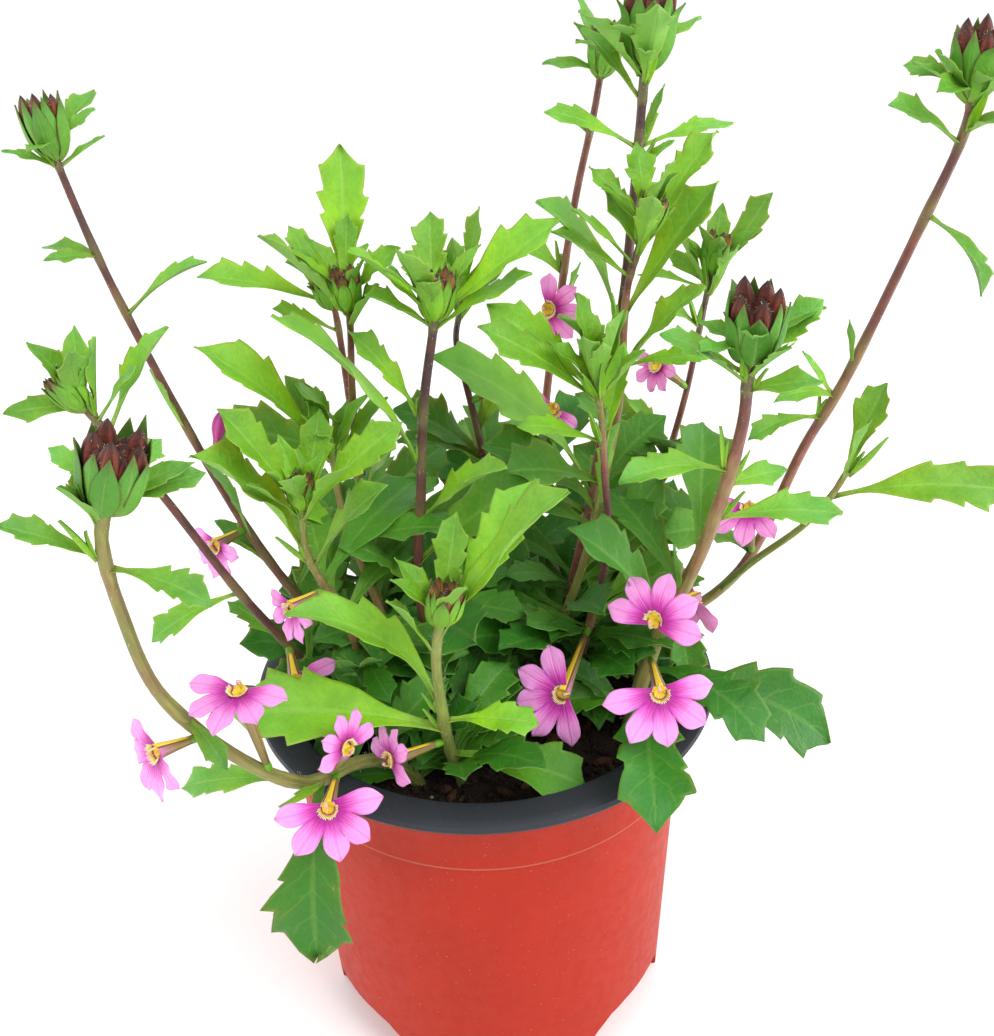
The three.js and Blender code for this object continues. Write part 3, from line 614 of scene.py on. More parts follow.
@dataclass(frozen=True)
class Station:
    """One cross-section of a blade: its frame, half widths and hollow."""

    point: Vector
    side: Vector
    above: Vector
    ahead: Vector
    share: float
    left: float
    right: float
    forward_left: float = 0.0
    forward_right: float = 0.0
    hollow: float = 0.0
    ripple_left: float = 0.0
    ripple_right: float = 0.0
    half_thickness: float = 0.2
    rib: float = 0.0


def add_blade(skin: Skin, slot: int, stations: Sequence[Station], mark: Mark) -> None:
    """Adds a thin closed blade through its stations.

    Args:
        skin: where to add it.
        slot: its material.
        stations: its cross-sections from the root to the tip.
        mark: the blade's mark. Its third number is 1 on the underside.
    """
    columns = len(BLADE_COLUMNS)
    rings = []
    for station in stations:
        upper, lower = [], []
        for column in BLADE_COLUMNS:
            left = column < 0
            wide = station.left if left else station.right
            forward = station.forward_left if left else station.forward_right
            ripple = station.ripple_left if left else station.ripple_right
            reach = abs(column)
            rise = station.hollow * wide * reach ** HOLLOW_POWER + ripple * reach * reach
            middle = (
                station.point
                + station.side * (column * wide)
                + station.ahead * (forward * reach ** LEAN_POWER)
                + station.above * rise
            )
            thick = station.half_thickness * (1 - EDGE_THINNING * reach * reach)
            rib = station.rib * max(0.0, 1 - reach * RIB_NARROWNESS)
            upper.append(middle + station.above * thick)
            lower.append(middle - station.above * (thick + rib))
        rings.append(upper + lower[::-1])
    shares = [station.share for station in stations]

    def across(i: int) -> float:
        """Gives the share across the blade of a point of a ring."""
        column = i if i < columns else 2 * columns - 1 - i
        return 0.5 + 0.5 * BLADE_COLUMNS[column]

    skin.loft(
        rings,
        slot,
        lambda j, i: (mark[0], mark[1], float(i >= columns), mark[3]),
        lambda j, i: (across(i), shares[j], stations[j].left),
    )


@dataclass
class StemLine:
    """The smooth line of a stem or side branch.

    It passes through the route's points. A stem starts straight under the soil's surface.
    """

    shoot: Shoot
    is_branch: bool = False

    def __post_init__(self) -> None:
        """Adds the buried point and counts the rings that leaves are rooted between."""
        points = [Vector(point) for point in self.shoot.route]
        if not self.is_branch:
            points.insert(0, points[0] - UP * SINK)
        self.points = points
        walk = [self.point(i / MEASURING_STEPS) for i in range(MEASURING_STEPS + 1)]
        self.length = sum((b - a).length for a, b in zip(walk, walk[1:]))
        self.rings = math.floor(self.length / STEM_STEP + 0.5)

    def point(self, share: float) -> Vector:
        """Gives the point at a share of the line."""
        spans = len(self.points) - 1
        span = min(math.floor(spans * share), spans - 1)
        w = spans * share - span
        p1, p2 = self.points[span], self.points[span + 1]
        p0 = self.points[span - 1] if span > 0 else 2 * p1 - p2
        p3 = self.points[span + 2] if span + 2 <= spans else 2 * p2 - p1
        t0, t1 = (p2 - p0) / 2, (p3 - p1) / 2
        bend = 3 * (p2 - p1) - 2 * t0 - t1
        twist = 2 * (p1 - p2) + t0 + t1
        return p1 + t0 * w + bend * w * w + twist * w * w * w

    def tangent(self, share: float) -> Vector:
        """Gives the unit direction of the line at a share of it."""
        high, low = min(share + TANGENT_STEP, 1), max(share - TANGENT_STEP, 0)
        return (self.point(high) - self.point(low)).normalized()

    def share_of(self, along: float) -> float:
        """Turns a share of the route above the soil into a share of the whole line."""
        spans = len(self.shoot.route) - 1
        return along if self.is_branch else (1 + along * spans) / (1 + spans)

    def radius(self, share: float) -> float:
        """Gives the stem's radius at a share of the line."""
        foot, top = self.shoot.radii
        return foot + (top - foot) * share

    def straight_point(self, share: float) -> Vector:
        """Gives the point at a share of the chain of straight pieces between the rings."""
        ring = min(math.floor(share * self.rings), self.rings - 1)
        low, high = self.point(ring / self.rings), self.point((ring + 1) / self.rings)
        return low.lerp(high, share * self.rings - ring)


@cache
def stem_line(name: str) -> StemLine:
    """Gives the line of a stem."""
    return StemLine(STEMS[name])


@cache
def all_stem_lines() -> KDTree:
    """Gathers points of every stem's line, so that added leaves can keep clear of them."""
    steps = [i / SEARCH_STEPS for i in range(SEARCH_STEPS + 1)]
    spots = [stem_line(name).point(step) for name in STEMS for step in steps]
    tree = KDTree(len(spots))
    for i, spot in enumerate(spots):
        tree.insert(spot, i)
    tree.balance()
    return tree


@dataclass(frozen=True)
class BladeArc:
    """The middle line of a leaf: an arc that starts steeper than its chord and ends flatter."""

    root: Vector
    azimuth: float
    lift: float
    span: float
    droop: float
    half_width: float

    def frame_at(self, share: float) -> tuple[Vector, Vector, Vector, Vector]:
        """Gives the point, side, above and ahead vectors at a share of the leaf."""
        bend = math.radians(self.droop)
        rise = math.radians(self.lift) + bend / 2
        radius = self.span / 2 / math.sin(bend / 2)
        slope = rise - bend * share
        flat = radius * (math.sin(rise) - math.sin(slope))
        high = radius * (math.cos(slope) - math.cos(rise))
        level_ahead = direction(self.azimuth, 0)
        ahead = direction(self.azimuth, math.degrees(slope))
        level = level_ahead.cross(UP)
        above = level.cross(ahead)
        turn = math.radians(FACE_TURN * math.cos(math.radians(self.azimuth)))
        point = self.root + level_ahead * flat + UP * high
        side = level * math.cos(turn) - above * math.sin(turn)
        return point, side, above * math.cos(turn) + level * math.sin(turn), ahead

    def tip_corners(self) -> list[Vector]:
        """Gives the four corners of the solid blade's tip."""
        point, side, above, _ = self.frame_at(1)
        wide, thick = self.half_width * TIP_WIDTH, BLADE_THICKNESS / 2
        return [point + side * (wide * a) + above * (thick * b) for a in (-1, 1) for b in (-1, 1)]


class NodeCorners:
    """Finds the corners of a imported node, in millimetres."""

    TOLERANCE = 0.05

    def __init__(self, node: str) -> None:
        """Sorts the node's corners for a quick search.

        Args:
            node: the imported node's name.
        """
        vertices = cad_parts[node].data.vertices
        self.tree = KDTree(len(vertices))
        for i, vertex in enumerate(vertices):
            self.tree.insert(vertex.co / MM, i)
        self.tree.balance()

    def hold(self, points: Sequence[Vector]) -> bool:
        """Says whether all but one of the points are corners of the node."""
        found = sum(self.tree.find(point)[2] < self.TOLERANCE for point in points)
        return found >= len(points) - 1


class LeafCut(Enum):
    """The outlines that leaves are cut to.

    Each holds its envelope, as (share of the span, share of the half width), the shares where
    a tooth points forward, and how far a tooth stands out.
    """

    TOOTHED = (
        ((0, 0.12), (0.14, 0.13), (0.3, 0.3), (0.45, 0.56), (0.6, 0.72), (0.75, 0.75),
         (0.87, 0.56), (0.94, 0.28), (1, 0.02)),
        (0.5, 0.66, 0.82),
        0.24,
    )
    SMALL = (
        ((0, 0.2), (0.2, 0.42), (0.45, 0.82), (0.62, 0.86), (0.8, 0.58), (0.92, 0.28), (1, 0.02)),
        (0.66,),
        0.16,
    )

    def draw_teeth(self, draw: random.Random) -> list[Triple]:
        """Draws one edge's teeth.

        Args:
            draw: the random draws of the stem.

        Returns:
            Each tooth's share of the span, how far it stands out and how hollow its back is.
        """
        places, depth = self.value[1:]
        shift = draw.uniform(-EDGE_SHIFT, EDGE_SHIFT)
        back = draw.uniform(*TOOTH_HOLLOW)
        teeth = []
        for place in places:
            along = place + shift + draw.uniform(-TOOTH_SHIFT, TOOTH_SHIFT)
            teeth.append((along, depth * draw.uniform(*TOOTH_SCALE), back))
        misses_one = len(teeth) > 2 and draw.random() < MISSING_TOOTH_CHANCE
        return teeth[1:] if misses_one else teeth

    def half_width(self, share: float, teeth: Sequence[Triple]) -> float:
        """Gives the share of the half width on one side.

        Args:
            share: share of the span.
            teeth: that side's teeth.

        Returns:
            The share of the half width, teeth included.
        """
        wide = blend_along(self.value[0], share)
        for place, depth, hollow in teeth:
            back = place - share
            if 0 <= back <= TOOTH_RISE:
                wide += depth * (1 - back / TOOTH_RISE) ** hollow
            elif -TOOTH_FALL < back < 0:
                wide += depth * (1 + back / TOOTH_FALL)
        return wide

    @staticmethod
    def forward(share: float, teeth: Sequence[Triple]) -> float:
        """Gives how far the edge leans towards the tip, as a share of the span."""
        lean = 0.0
        for place, _, _ in teeth:
            lean = max(lean, TOOTH_LEAN * (1 - abs(place - share) / TOOTH_RISE))
        return lean

    @staticmethod
    def shares(teeth: Sequence[Triple]) -> list[float]:
        """Gives the shares of the span that need a cross-section."""
        found = [i / LEAF_STEPS for i in range(LEAF_STEPS + 1)]
        for place, _, _ in teeth:
            found += [place + step for step in TOOTH_STEPS]
        kept: list[float] = []
        for share in sorted(share for share in found if 0 <= share <= 1):
            if not kept or share - kept[-1] > CLOSEST_STEPS:
                kept.append(share)
        kept[-1] = 1.0
        return kept


@dataclass(frozen=True)
class LeafLayer:
    """Leaves that fill a stem's lower or middle part: how many, where and how old."""

    tries: int
    along: Range
    lift: Range
    span: Range
    reach: float
    front: float
    top: float
    age: Range
    droop: Range = (25, 60)
    slenderness: Range = (0.17, 0.24)
    clasp: float = 0.9
    tested: tuple[float, ...] = (0.3, 0.6, 0.8, 1)
    coolness: float = 0.5
    chance: Range = (0, 0.7)


UNDERGROWTH = LeafLayer(
    tries=34, along=(0.01, 0.2), lift=(-8, 48), span=(18, 32),
    reach=50, front=-60, top=122, age=(0.7, 1),
)
FILLING = LeafLayer(
    tries=11, along=(0.18, 0.5), lift=(10, 62), span=(22, 36),
    reach=60, front=-14, top=162, age=(0.3, 0.85),
)


@dataclass(frozen=True)
class Collar:
    """The small leaves that stand close under a head, up to so many millimetres below it."""

    lift: Range
    span: Range
    leaves: int = 5
    turn: float = 30
    below: Range = (1.5, 5)
    droop: Range = (8, 30)
    slenderness: Range = (0.14, 0.2)
    age: Range = (0, 0.25)
    small_chance: float = 0.5
    clasp: float = 0.8


YOUNG_COLLAR = Collar(lift=(40, 72), span=(12, 18))
OLD_COLLAR = Collar(lift=(5, 42), span=(11, 17))


@dataclass(frozen=True)
class Sprout:
    """A slim upright side shoot: two young leaves, face to face."""

    chance: float = 0.5
    lowest: float = 0.24
    turn: float = 30
    lift: float = 10
    root: float = 0.9
    length: Range = (5, 11)
    lean: Range = (0.16, 0.42)
    shortening: float = 0.3
    bend: float = 1.4
    half_width: float = 0.1
    outline: tuple[Range, ...] = (
        (0, 0.6), (0.15, 0.8), (0.35, 1), (0.6, 0.85), (0.82, 0.45), (1, 0.05),
    )
    hollow: float = 0.6
    half_thickness: float = 0.2
    rib: float = 0.25
    coolness: float = 0.05


@dataclass(frozen=True)
class LeafForm:
    """How a leaf's blade is hollowed, rippled, twisted and thinned along its arc."""

    hollow: Range = (0.15, 0.55)
    ripple: Range = (0.08, 0.2)
    twist: float = 24
    waves: Range = (1.6, 2.8)
    clasp_end: float = 0.34
    root_hollow: float = 0.5
    root_end: float = 0.3
    lean_end: float = 0.98
    half_thickness: float = 0.16
    rib: float = 0.3
    rib_thinning: float = 0.8


@dataclass
class LeafyStem:
    """A stem with its leaves, the bracts under its head, its down and its side branch."""

    name: str
    looks: "PlantLooks"
    shoot: Shoot
    sides: int = 12
    fewest_rings: int = 8
    ring_every: float = 2.5
    fineness: float = 0.96
    thinning: float = 0.18
    swelling: float = 0.12
    swelling_reach: Range = (2, 5)
    ridges: tuple[int, float] = (3, 0.05)
    browning_shares: Triple = (0.1, 0.5, 0.85)
    hairs_per_mm: float = 0.9
    hair_along: Range = (0.12, 0.99)
    hair_root: float = 0.95
    hair_lean: Range = (-0.4, 0.7)
    hair_length: Range = (0.4, 0.9)
    hair_radii: Range = (0.045, 0.012)
    young_along: tuple[Range, Range] = ((0.14, 0), (0.36, 1))
    old_lift: tuple[Range, Range] = ((35, 0), (60, 1))
    old_age: float = 0.85
    tone_spread: float = 0.12
    clasp: float = 0.62
    form: LeafForm = LeafForm()
    sprout: Sprout = Sprout()
    over_soil: float = 3
    stem_clearance: float = 3
    flower_clearance: float = 12
    behind_flower: float = -5
    young_head: float = 1.2

    def __post_init__(self) -> None:
        """Sets up the stem's line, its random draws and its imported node."""
        self.line = stem_line(self.name)
        self.draw = random.Random(f"{SEED} {self.name}")
        self.corners = NodeCorners(f"leafy_stem_{self.name}")
        self.skin = Skin()
        self.leaf_count = 0
        self.mouths = [FanFlower.throat_of(row) for row in FLOWERS]

    def build(self) -> Object:
        """Makes the whole leafy stem as one object.

        Returns:
            The object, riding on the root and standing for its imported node.
        """
        self.add_shoot(self.line, self.shoot)
        for layer in (UNDERGROWTH, FILLING):
            self.add_layer(self.line, layer)
        branch = self.shoot.branch
        if branch:
            self.add_shoot(StemLine(branch, is_branch=True), branch)
        if self.shoot.head > 0:
            head = BudHead(self.line, self.shoot.head, self.draw)
            head.add_bracts(self.skin, self.shoot.coolness)
        self.add_collar(self.line)
        looks = self.looks
        piece = self.skin.finish(
            f"stem_{self.name}", (looks.leaf, looks.stem, looks.down, looks.bract)
        )
        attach(piece, "root")
        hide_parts(f"leafy_stem_{self.name}")
        LOG.info("%s: %d leaves", piece.name, self.leaf_count)
        return piece

    def add_shoot(self, line: StemLine, shoot: Shoot) -> None:
        """Adds one line of stem with its leaves and down."""
        nodes = sorted({round(line.share_of(row[0]), 3) for row in shoot.leaves})
        self.add_stem(line, shoot.browning, nodes)
        self.add_down(line)
        for row in shoot.leaves:
            self.add_leaf(line, row, shoot.coolness)
            if row[0] > self.sprout.lowest and self.draw.random() < self.sprout.chance:
                self.add_sprout(line, row)

    def add_stem(self, line: StemLine, browning: Triple, nodes: Sequence[float]) -> None:
        """Adds the round stem, a little thicker and greener above each place where leaves grow."""
        steps = max(self.fewest_rings, round(line.length / self.ring_every))
        side = level_side(line.tangent(0))
        stops = list(zip(self.browning_shares, browning))
        count, height = self.ridges
        turns = [count * math.tau * i / self.sides for i in range(self.sides)]
        ridges = [1 + height * math.cos(turn) for turn in turns]
        rings, marks = [], []
        for j in range(steps + 1):
            share = j / steps
            ahead = line.tangent(share)
            side = (side - ahead * side.dot(ahead)).normalized()
            near = max((self.nearness(line, share, node) for node in nodes), default=0)
            thickness = self.fineness - self.thinning * share + self.swelling * near
            radius = line.radius(share) * thickness
            radii = [radius * ridge for ridge in ridges]
            rings.append(ring_round(line.point(share), side, ahead.cross(side), radii))
            marks.append((blend_along(stops, share), near, 0.0, self.draw.random()))
        self.skin.loft(
            rings,
            STEM,
            lambda j, i: marks[j],
            lambda j, i: (i / self.sides, line.length * j / steps, 0.0),
        )

    def nearness(self, line: StemLine, share: float, node: float) -> float:
        """Gives 1 at a node, falling to 0 a little below it and further above it."""
        off = (share - node) * line.length
        below, above = self.swelling_reach
        return max(0.0, 1 - (off / (above if off > 0 else below)) ** 2)

    def add_down(self, line: StemLine) -> None:
        """Adds short pale hairs that stand out all round the stem."""
        for _ in range(round(line.length * self.hairs_per_mm)):
            share = self.draw.uniform(*self.hair_along)
            ahead = line.tangent(share)
            side = level_side(ahead)
            turn = self.draw.uniform(0, math.tau)
            out = side * math.cos(turn) + ahead.cross(side) * math.sin(turn)
            foot = line.point(share) + out * (line.radius(share) * self.hair_root)
            way = out + ahead * self.draw.uniform(*self.hair_lean)
            tip = foot + way * self.draw.uniform(*self.hair_length)
            spindle(self.skin, DOWN, (foot, tip), self.hair_radii, sides=3)

    def add_leaf(self, line: StemLine, row: Sequence[float], coolness: float) -> None:
        """Adds one leaf where its solid blade is, or none if the solid blade was left out."""
        arc = self.find_arc(line, row)
        if arc is None:
            LOG.info("stem_%s: no blade for the leaf at %s", self.name, row)
            return
        share = line.share_of(row[0])
        slip = line.point(share) - line.straight_point(share)
        cut = LeafCut.SMALL if row[3] <= SMALL_LEAF else LeafCut.TOOTHED
        low = 1 - blend_along(self.young_along, row[0])
        hanging = self.old_age * blend_along(self.old_lift, -row[2])
        age = max(low, hanging)
        tone = coolness + self.draw.uniform(-self.tone_spread, self.tone_spread)
        tone = min(1, max(0, tone))
        stations = self.leaf_stations(arc, cut, slip, line.radius(share) * self.clasp)
        add_blade(self.skin, LEAF, stations, (age, tone, 0.0, self.draw.random()))
        self.leaf_count += 1

    def add_sprout(self, line: StemLine, row: Sequence[float]) -> None:
        """Adds a slim upright side shoot in the angle between a leaf and the stem."""
        draw, sprout = self.draw, self.sprout
        share = line.share_of(row[0])
        out = direction(row[1] + draw.uniform(-sprout.turn, sprout.turn), sprout.lift)
        foot = line.point(share) + out * (line.radius(share) * sprout.root)
        long = draw.uniform(*sprout.length)
        for k in range(2):
            facing = 1 - 2 * k
            lean = (line.tangent(share) + out * draw.uniform(*sprout.lean)).normalized()
            above = lean.cross(out).normalized().cross(lean) * facing
            side = lean.cross(above)
            span = long * (1 - sprout.shortening * k)
            stations = [
                Station(
                    point=foot + lean * (span * s) + out * (sprout.bend * s * s * facing),
                    side=side,
                    above=above,
                    ahead=lean,
                    share=s,
                    left=span * sprout.half_width * width,
                    right=span * sprout.half_width * width,
                    hollow=sprout.hollow,
                    half_thickness=sprout.half_thickness,
                    rib=sprout.rib,
                )
                for s, width in sprout.outline
            ]
            add_blade(self.skin, LEAF, stations, (0.0, sprout.coolness, 0.0, draw.random()))

    def add_layer(self, line: StemLine, layer: LeafLayer) -> None:
        """Adds a layer of older leaves, over the pot's mouth and clear of the flowers."""
        draw = self.draw
        for _ in range(layer.tries):
            share = line.share_of(draw.uniform(*layer.along))
            span = draw.uniform(*layer.span)
            arc = BladeArc(
                line.point(share), draw.uniform(0, 360), draw.uniform(*layer.lift), span,
                draw.uniform(*layer.droop), span * draw.uniform(*layer.slenderness),
            )
            mark = (draw.uniform(*layer.age), layer.coolness, 0.0, draw.uniform(*layer.chance))
            spots = [arc.frame_at(step)[0] for step in layer.tested]
            if all(self.suits(spot, layer) for spot in spots):
                stations = self.leaf_stations(arc, LeafCut.TOOTHED, NO_SLIP, layer.clasp)
                add_blade(self.skin, LEAF, stations, mark)
                self.leaf_count += 1

    def suits(self, spot: Vector, layer: LeafLayer) -> bool:
        """Says whether a leaf of a layer may pass through a spot."""
        inside = math.hypot(spot.x, spot.y) < layer.reach and spot.y > layer.front
        level = SOIL_LEVEL + self.over_soil < spot.z < layer.top
        if not (inside and level) or all_stem_lines().find(spot)[2] < self.stem_clearance:
            return False
        return not any(self.hides(spot, mouth) for mouth in self.mouths)

    def hides(self, spot: Vector, mouth: Vector) -> bool:
        """Says whether a leaf through a spot would stand before a flower's mouth."""
        offset = spot - mouth
        ahead = offset.dot(OPEN_SIDE)
        aside = (offset - OPEN_SIDE * ahead).length
        return ahead > self.behind_flower and aside < self.flower_clearance

    def add_collar(self, line: StemLine) -> None:
        """Adds the small leaves that stand close under a head."""
        draw = self.draw
        collar = YOUNG_COLLAR if self.shoot.head < self.young_head else OLD_COLLAR
        for i in range(collar.leaves):
            azimuth = 360 / collar.leaves * i + draw.uniform(-collar.turn, collar.turn)
            span = draw.uniform(*collar.span)
            share = 1 - draw.uniform(*collar.below) / line.length
            arc = BladeArc(
                line.point(share), azimuth, draw.uniform(*collar.lift), span,
                draw.uniform(*collar.droop), span * draw.uniform(*collar.slenderness),
            )
            if not inside_box(arc.frame_at(1)[0]):
                continue
            cut = LeafCut.SMALL if draw.random() < collar.small_chance else LeafCut.TOOTHED
            mark = (draw.uniform(*collar.age), self.shoot.coolness, 0.0, draw.random())
            stations = self.leaf_stations(arc, cut, NO_SLIP, collar.clasp)
            add_blade(self.skin, LEAF, stations, mark)
            self.leaf_count += 1

    def find_arc(self, line: StemLine, row: Sequence[float]) -> BladeArc | None:
        """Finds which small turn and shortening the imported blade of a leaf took.

        Args:
            line: the stem's line.
            row: the leaf's row in the table.

        Returns:
            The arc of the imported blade, or None if the node has no such blade.
        """
        along, azimuth, lift, span, droop, width = row
        share = line.share_of(along)
        radius = line.radius(share)
        root = line.straight_point(share) + direction(azimuth, 0) * (radius * ROOT_OFFSET)
        widening = SMALL_WIDENING if span <= SMALL_LEAF else 1
        half_width = span * BLADE_SLENDERNESS * width * widening
        for shortening in SHORTENINGS:
            for turn, rise in TURNS:
                arc = BladeArc(
                    root, azimuth + turn, lift + rise, span * shortening, droop,
                    half_width * shortening,
                )
                if self.corners.hold(arc.tip_corners()):
                    return arc
        return None

    def leaf_stations(
        self, arc: BladeArc, cut: LeafCut, slip: Vector, foot: float
    ) -> list[Station]:
        """Lays the finely cut outline of a leaf along its arc.

        Args:
            arc: the leaf's middle line.
            cut: its outline.
            slip: how far the root moves so that it sits on the smooth stem.
            foot: half width of the leaf where it clasps the stem.

        Returns:
            The cross-sections from the root to the tip.
        """
        draw, form = self.draw, self.form
        edges = (cut.draw_teeth(draw), cut.draw_teeth(draw))
        hollow = draw.uniform(*form.hollow)
        ripple = arc.half_width * draw.uniform(*form.ripple)
        twist = math.radians(draw.uniform(-form.twist, form.twist))
        waves = draw.uniform(*form.waves)
        phases = (draw.uniform(0, math.tau), draw.uniform(0, math.tau))
        stations = []
        for share in cut.shares(edges[0] + edges[1]):
            point, side, above, ahead = arc.frame_at(share)
            cosine, sine = math.cos(twist * share), math.sin(twist * share)
            floor = foot * max(0.0, 1 - share / form.clasp_end)
            widths = [
                max(arc.half_width * cut.half_width(share, teeth), floor) for teeth in edges
            ]
            leans = [
                arc.span * cut.forward(share, teeth) * (share < form.lean_end) for teeth in edges
            ]
            swing = min(1.0, share * 2)
            ripples = [
                ripple * swing * math.sin(math.tau * waves * share + phase) for phase in phases
            ]
            stations.append(Station(
                point=point + slip * (1 - share) ** 2,
                side=side * cosine + above * sine,
                above=above * cosine - side * sine,
                ahead=ahead,
                share=share,
                left=widths[0],
                right=widths[1],
                forward_left=leans[0],
                forward_right=leans[1],
                hollow=hollow + form.root_hollow * max(0.0, form.root_end - share),
                ripple_left=ripples[0],
                ripple_right=ripples[1],
                half_thickness=form.half_thickness,
                rib=form.rib * (1 - form.rib_thinning * share),
            ))
        return stations


@dataclass(frozen=True)
class Bud:
    """A bud, in head radii: how far its foot and tip are from the axis, height and radius."""

    foot: float
    top: float
    height: float
    radius: float
    tallness: Range = (1, 1)


@dataclass
class BudHead:
    """The head of brown buds on a stem's tip, in its cup of green bracts.

    Its sizes are in head radii and its turns in degrees. Paths pair a reach with a height.
    """

    line: StemLine
    size: float
    draw: random.Random
    count: int = 5
    outer_path: tuple[Range, ...] = ((0.2, -1.1), (0.8, -0.6), (1.18, 0.2), (1.28, 1.3))
    outer_reach: Range = (1.15, 1.7)
    outer_height: float = 2.5
    outer_tallness: Range = (0.82, 1.14)
    outer_lowering: float = 0.8
    outer_width: Range = (0.5, 0.7)
    outer_turn: float = 9
    cup_height: float = 2.3
    tight_reach: float = 1.2
    inner_path: tuple[Range, ...] = ((0.2, -0.9), (0.85, -0.3), (1.08, 0.5), (1.18, 1.4))
    inner_tip: Range = (1.12, 2.35)
    inner_tallness: Range = (0.85, 1.12)
    inner_width: float = 0.5
    bract_steps: int = 16
    bract_outline: tuple[Range, ...] = (
        (0, 0.3), (0.25, 0.62), (0.5, 1), (0.68, 0.9), (0.85, 0.48), (1, 0.02),
    )
    bract_age: Range = (0.25, 0.8)
    young_size: float = 0.7
    least_age: float = 0.15
    bract_hollow: Range = (0.55, 0.35)
    bract_half_thickness: float = 0.18
    bract_rib: float = 0.25
    tall_bud: Bud = Bud(foot=0.45, top=0.84, height=2.7, radius=0.4, tallness=(0.82, 1.05))
    low_bud: Bud = Bud(foot=0.5, top=0.72, height=2.1, radius=0.38, tallness=(0.85, 1.05))
    middle_bud: Bud = Bud(foot=0.2, top=0.36, height=2.1, radius=0.36)
    middle_turns: tuple[float, ...] = (20, 140, 260)
    middle_lowering: float = 0.14
    bud_turn: float = 8
    bud_foot: float = 0.1
    bud_steps: int = 9
    bud_sides: int = 15
    bud_ribs: tuple[int, float] = (5, 0.1)
    bud_profile: tuple[Range, ...] = (
        (0, 0.45), (0.2, 0.82), (0.5, 1), (0.74, 0.82), (0.9, 0.42), (1, 0.04),
    )
    brown_size: float = 1.3
    browning: float = 0.4
    bristles: int = 14
    bristle_root: float = 0.9
    bristle_along: Range = (0.25, 0.95)
    bristle_lift: Range = (-20, 60)
    bristle_length: float = 0.6
    bristle_radii: Range = (0.04, 0.01)

    def __post_init__(self) -> None:
        """Sets the head's frame, whose Z axis is the stem's direction."""
        self.radius = HEAD_RADIUS * self.size
        self.step = 360 / self.count
        turn = UP.rotation_difference(self.line.tangent(1))
        self.frame = Matrix.Translation(self.line.point(1)) @ turn.to_matrix().to_4x4()

    def at(self, turn: float, reach: float, height: float) -> Vector:
        """Gives a point of the head.

        Args:
            turn: angle round the head, 0 at its first point.
            reach: distance from its axis.
            height: height over the stem's tip.

        Returns:
            The point in millimetres.
        """
        angle = math.radians(turn)
        spot = Vector((math.sin(angle) * reach, -math.cos(angle) * reach, height)) * self.radius
        return self.frame @ spot

    def add_bracts(self, skin: Skin, tone: float) -> None:
        """Adds two rings of bracts: the outer ones reach the tips of the solid cup."""
        draw = self.draw
        for i in range(self.count):
            turn = self.step * i
            jitter = draw.uniform(-self.outer_turn, self.outer_turn)
            tallness = draw.uniform(*self.outer_tallness)
            wide = draw.uniform(*self.outer_reach)
            if not inside_box(self.at(turn, wide, self.cup_height)):
                wide = self.tight_reach
            lower = self.outer_lowering * (wide - self.outer_reach[0])
            outer = (*self.outer_path, (wide, self.outer_height * tallness - lower))
            reach, height = self.inner_tip
            inner = (*self.inner_path, (reach, height * draw.uniform(*self.inner_tallness)))
            self.add_bract(skin, turn + jitter, outer, draw.uniform(*self.outer_width), tone)
            self.add_bract(skin, turn + self.step / 2 - jitter, inner, self.inner_width, tone)

    def add_bract(
        self, skin: Skin, turn: float, path: Sequence[Range], width: float, tone: float
    ) -> None:
        """Adds one bract.

        Args:
            skin: where to add it.
            turn: its place round the head.
            path: its middle line.
            width: its greatest half width.
            tone: how cool its green is.
        """
        reaches = [(i / 4, reach) for i, (reach, _) in enumerate(path)]
        heights = [(i / 4, height) for i, (_, height) in enumerate(path)]
        count = self.bract_steps
        line = [
            self.at(turn, blend_along(reaches, i / count), blend_along(heights, i / count))
            for i in range(count + 1)
        ]
        middle = self.at(turn, 0, 1)
        hollow, flattening = self.bract_hollow
        stations = []
        for i, point in enumerate(line):
            ahead = (line[min(i + 1, count)] - line[max(i - 1, 0)]).normalized()
            inward = middle - point
            above = (inward - ahead * inward.dot(ahead)).normalized()
            wide = self.radius * width * blend_along(self.bract_outline, i / count)
            stations.append(Station(
                point=point,
                side=ahead.cross(above),
                above=above,
                ahead=ahead,
                share=i / count,
                left=wide,
                right=wide,
                hollow=hollow - flattening * i / count,
                half_thickness=self.bract_half_thickness,
                rib=self.bract_rib * (1 - i / count),
            ))
        aging = min(1.0, max(self.least_age, self.size - self.young_size))
        age = self.draw.uniform(*self.bract_age) * aging
        add_blade(skin, BRACT, stations, (age, tone, 0.0, self.draw.random()))

    def build(self, name: str, looks: "PlantLooks") -> Object:
        """Makes the buds: a ring of tall ones, a ring of low ones and three in the middle.

        Args:
            name: the stem's name.
            looks: the plant's materials.

        Returns:
            The buds as one object.
        """
        skin = Skin()
        for i in range(self.count):
            turn = self.step * i + self.draw.uniform(-self.bud_turn, self.bud_turn)
            for bud, place in ((self.tall_bud, turn), (self.low_bud, turn + self.step / 2)):
                height = bud.height * self.draw.uniform(*bud.tallness)
                self.add_bud(skin, place, bud, height)
        for i, turn in enumerate(self.middle_turns):
            height = self.middle_bud.height - self.middle_lowering * i
            self.add_bud(skin, turn, self.middle_bud, height)
        piece = skin.finish(f"bud_head_{name}", (looks.bud, looks.down))
        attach(piece, "root")
        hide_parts(f"buds_{name}")
        return piece

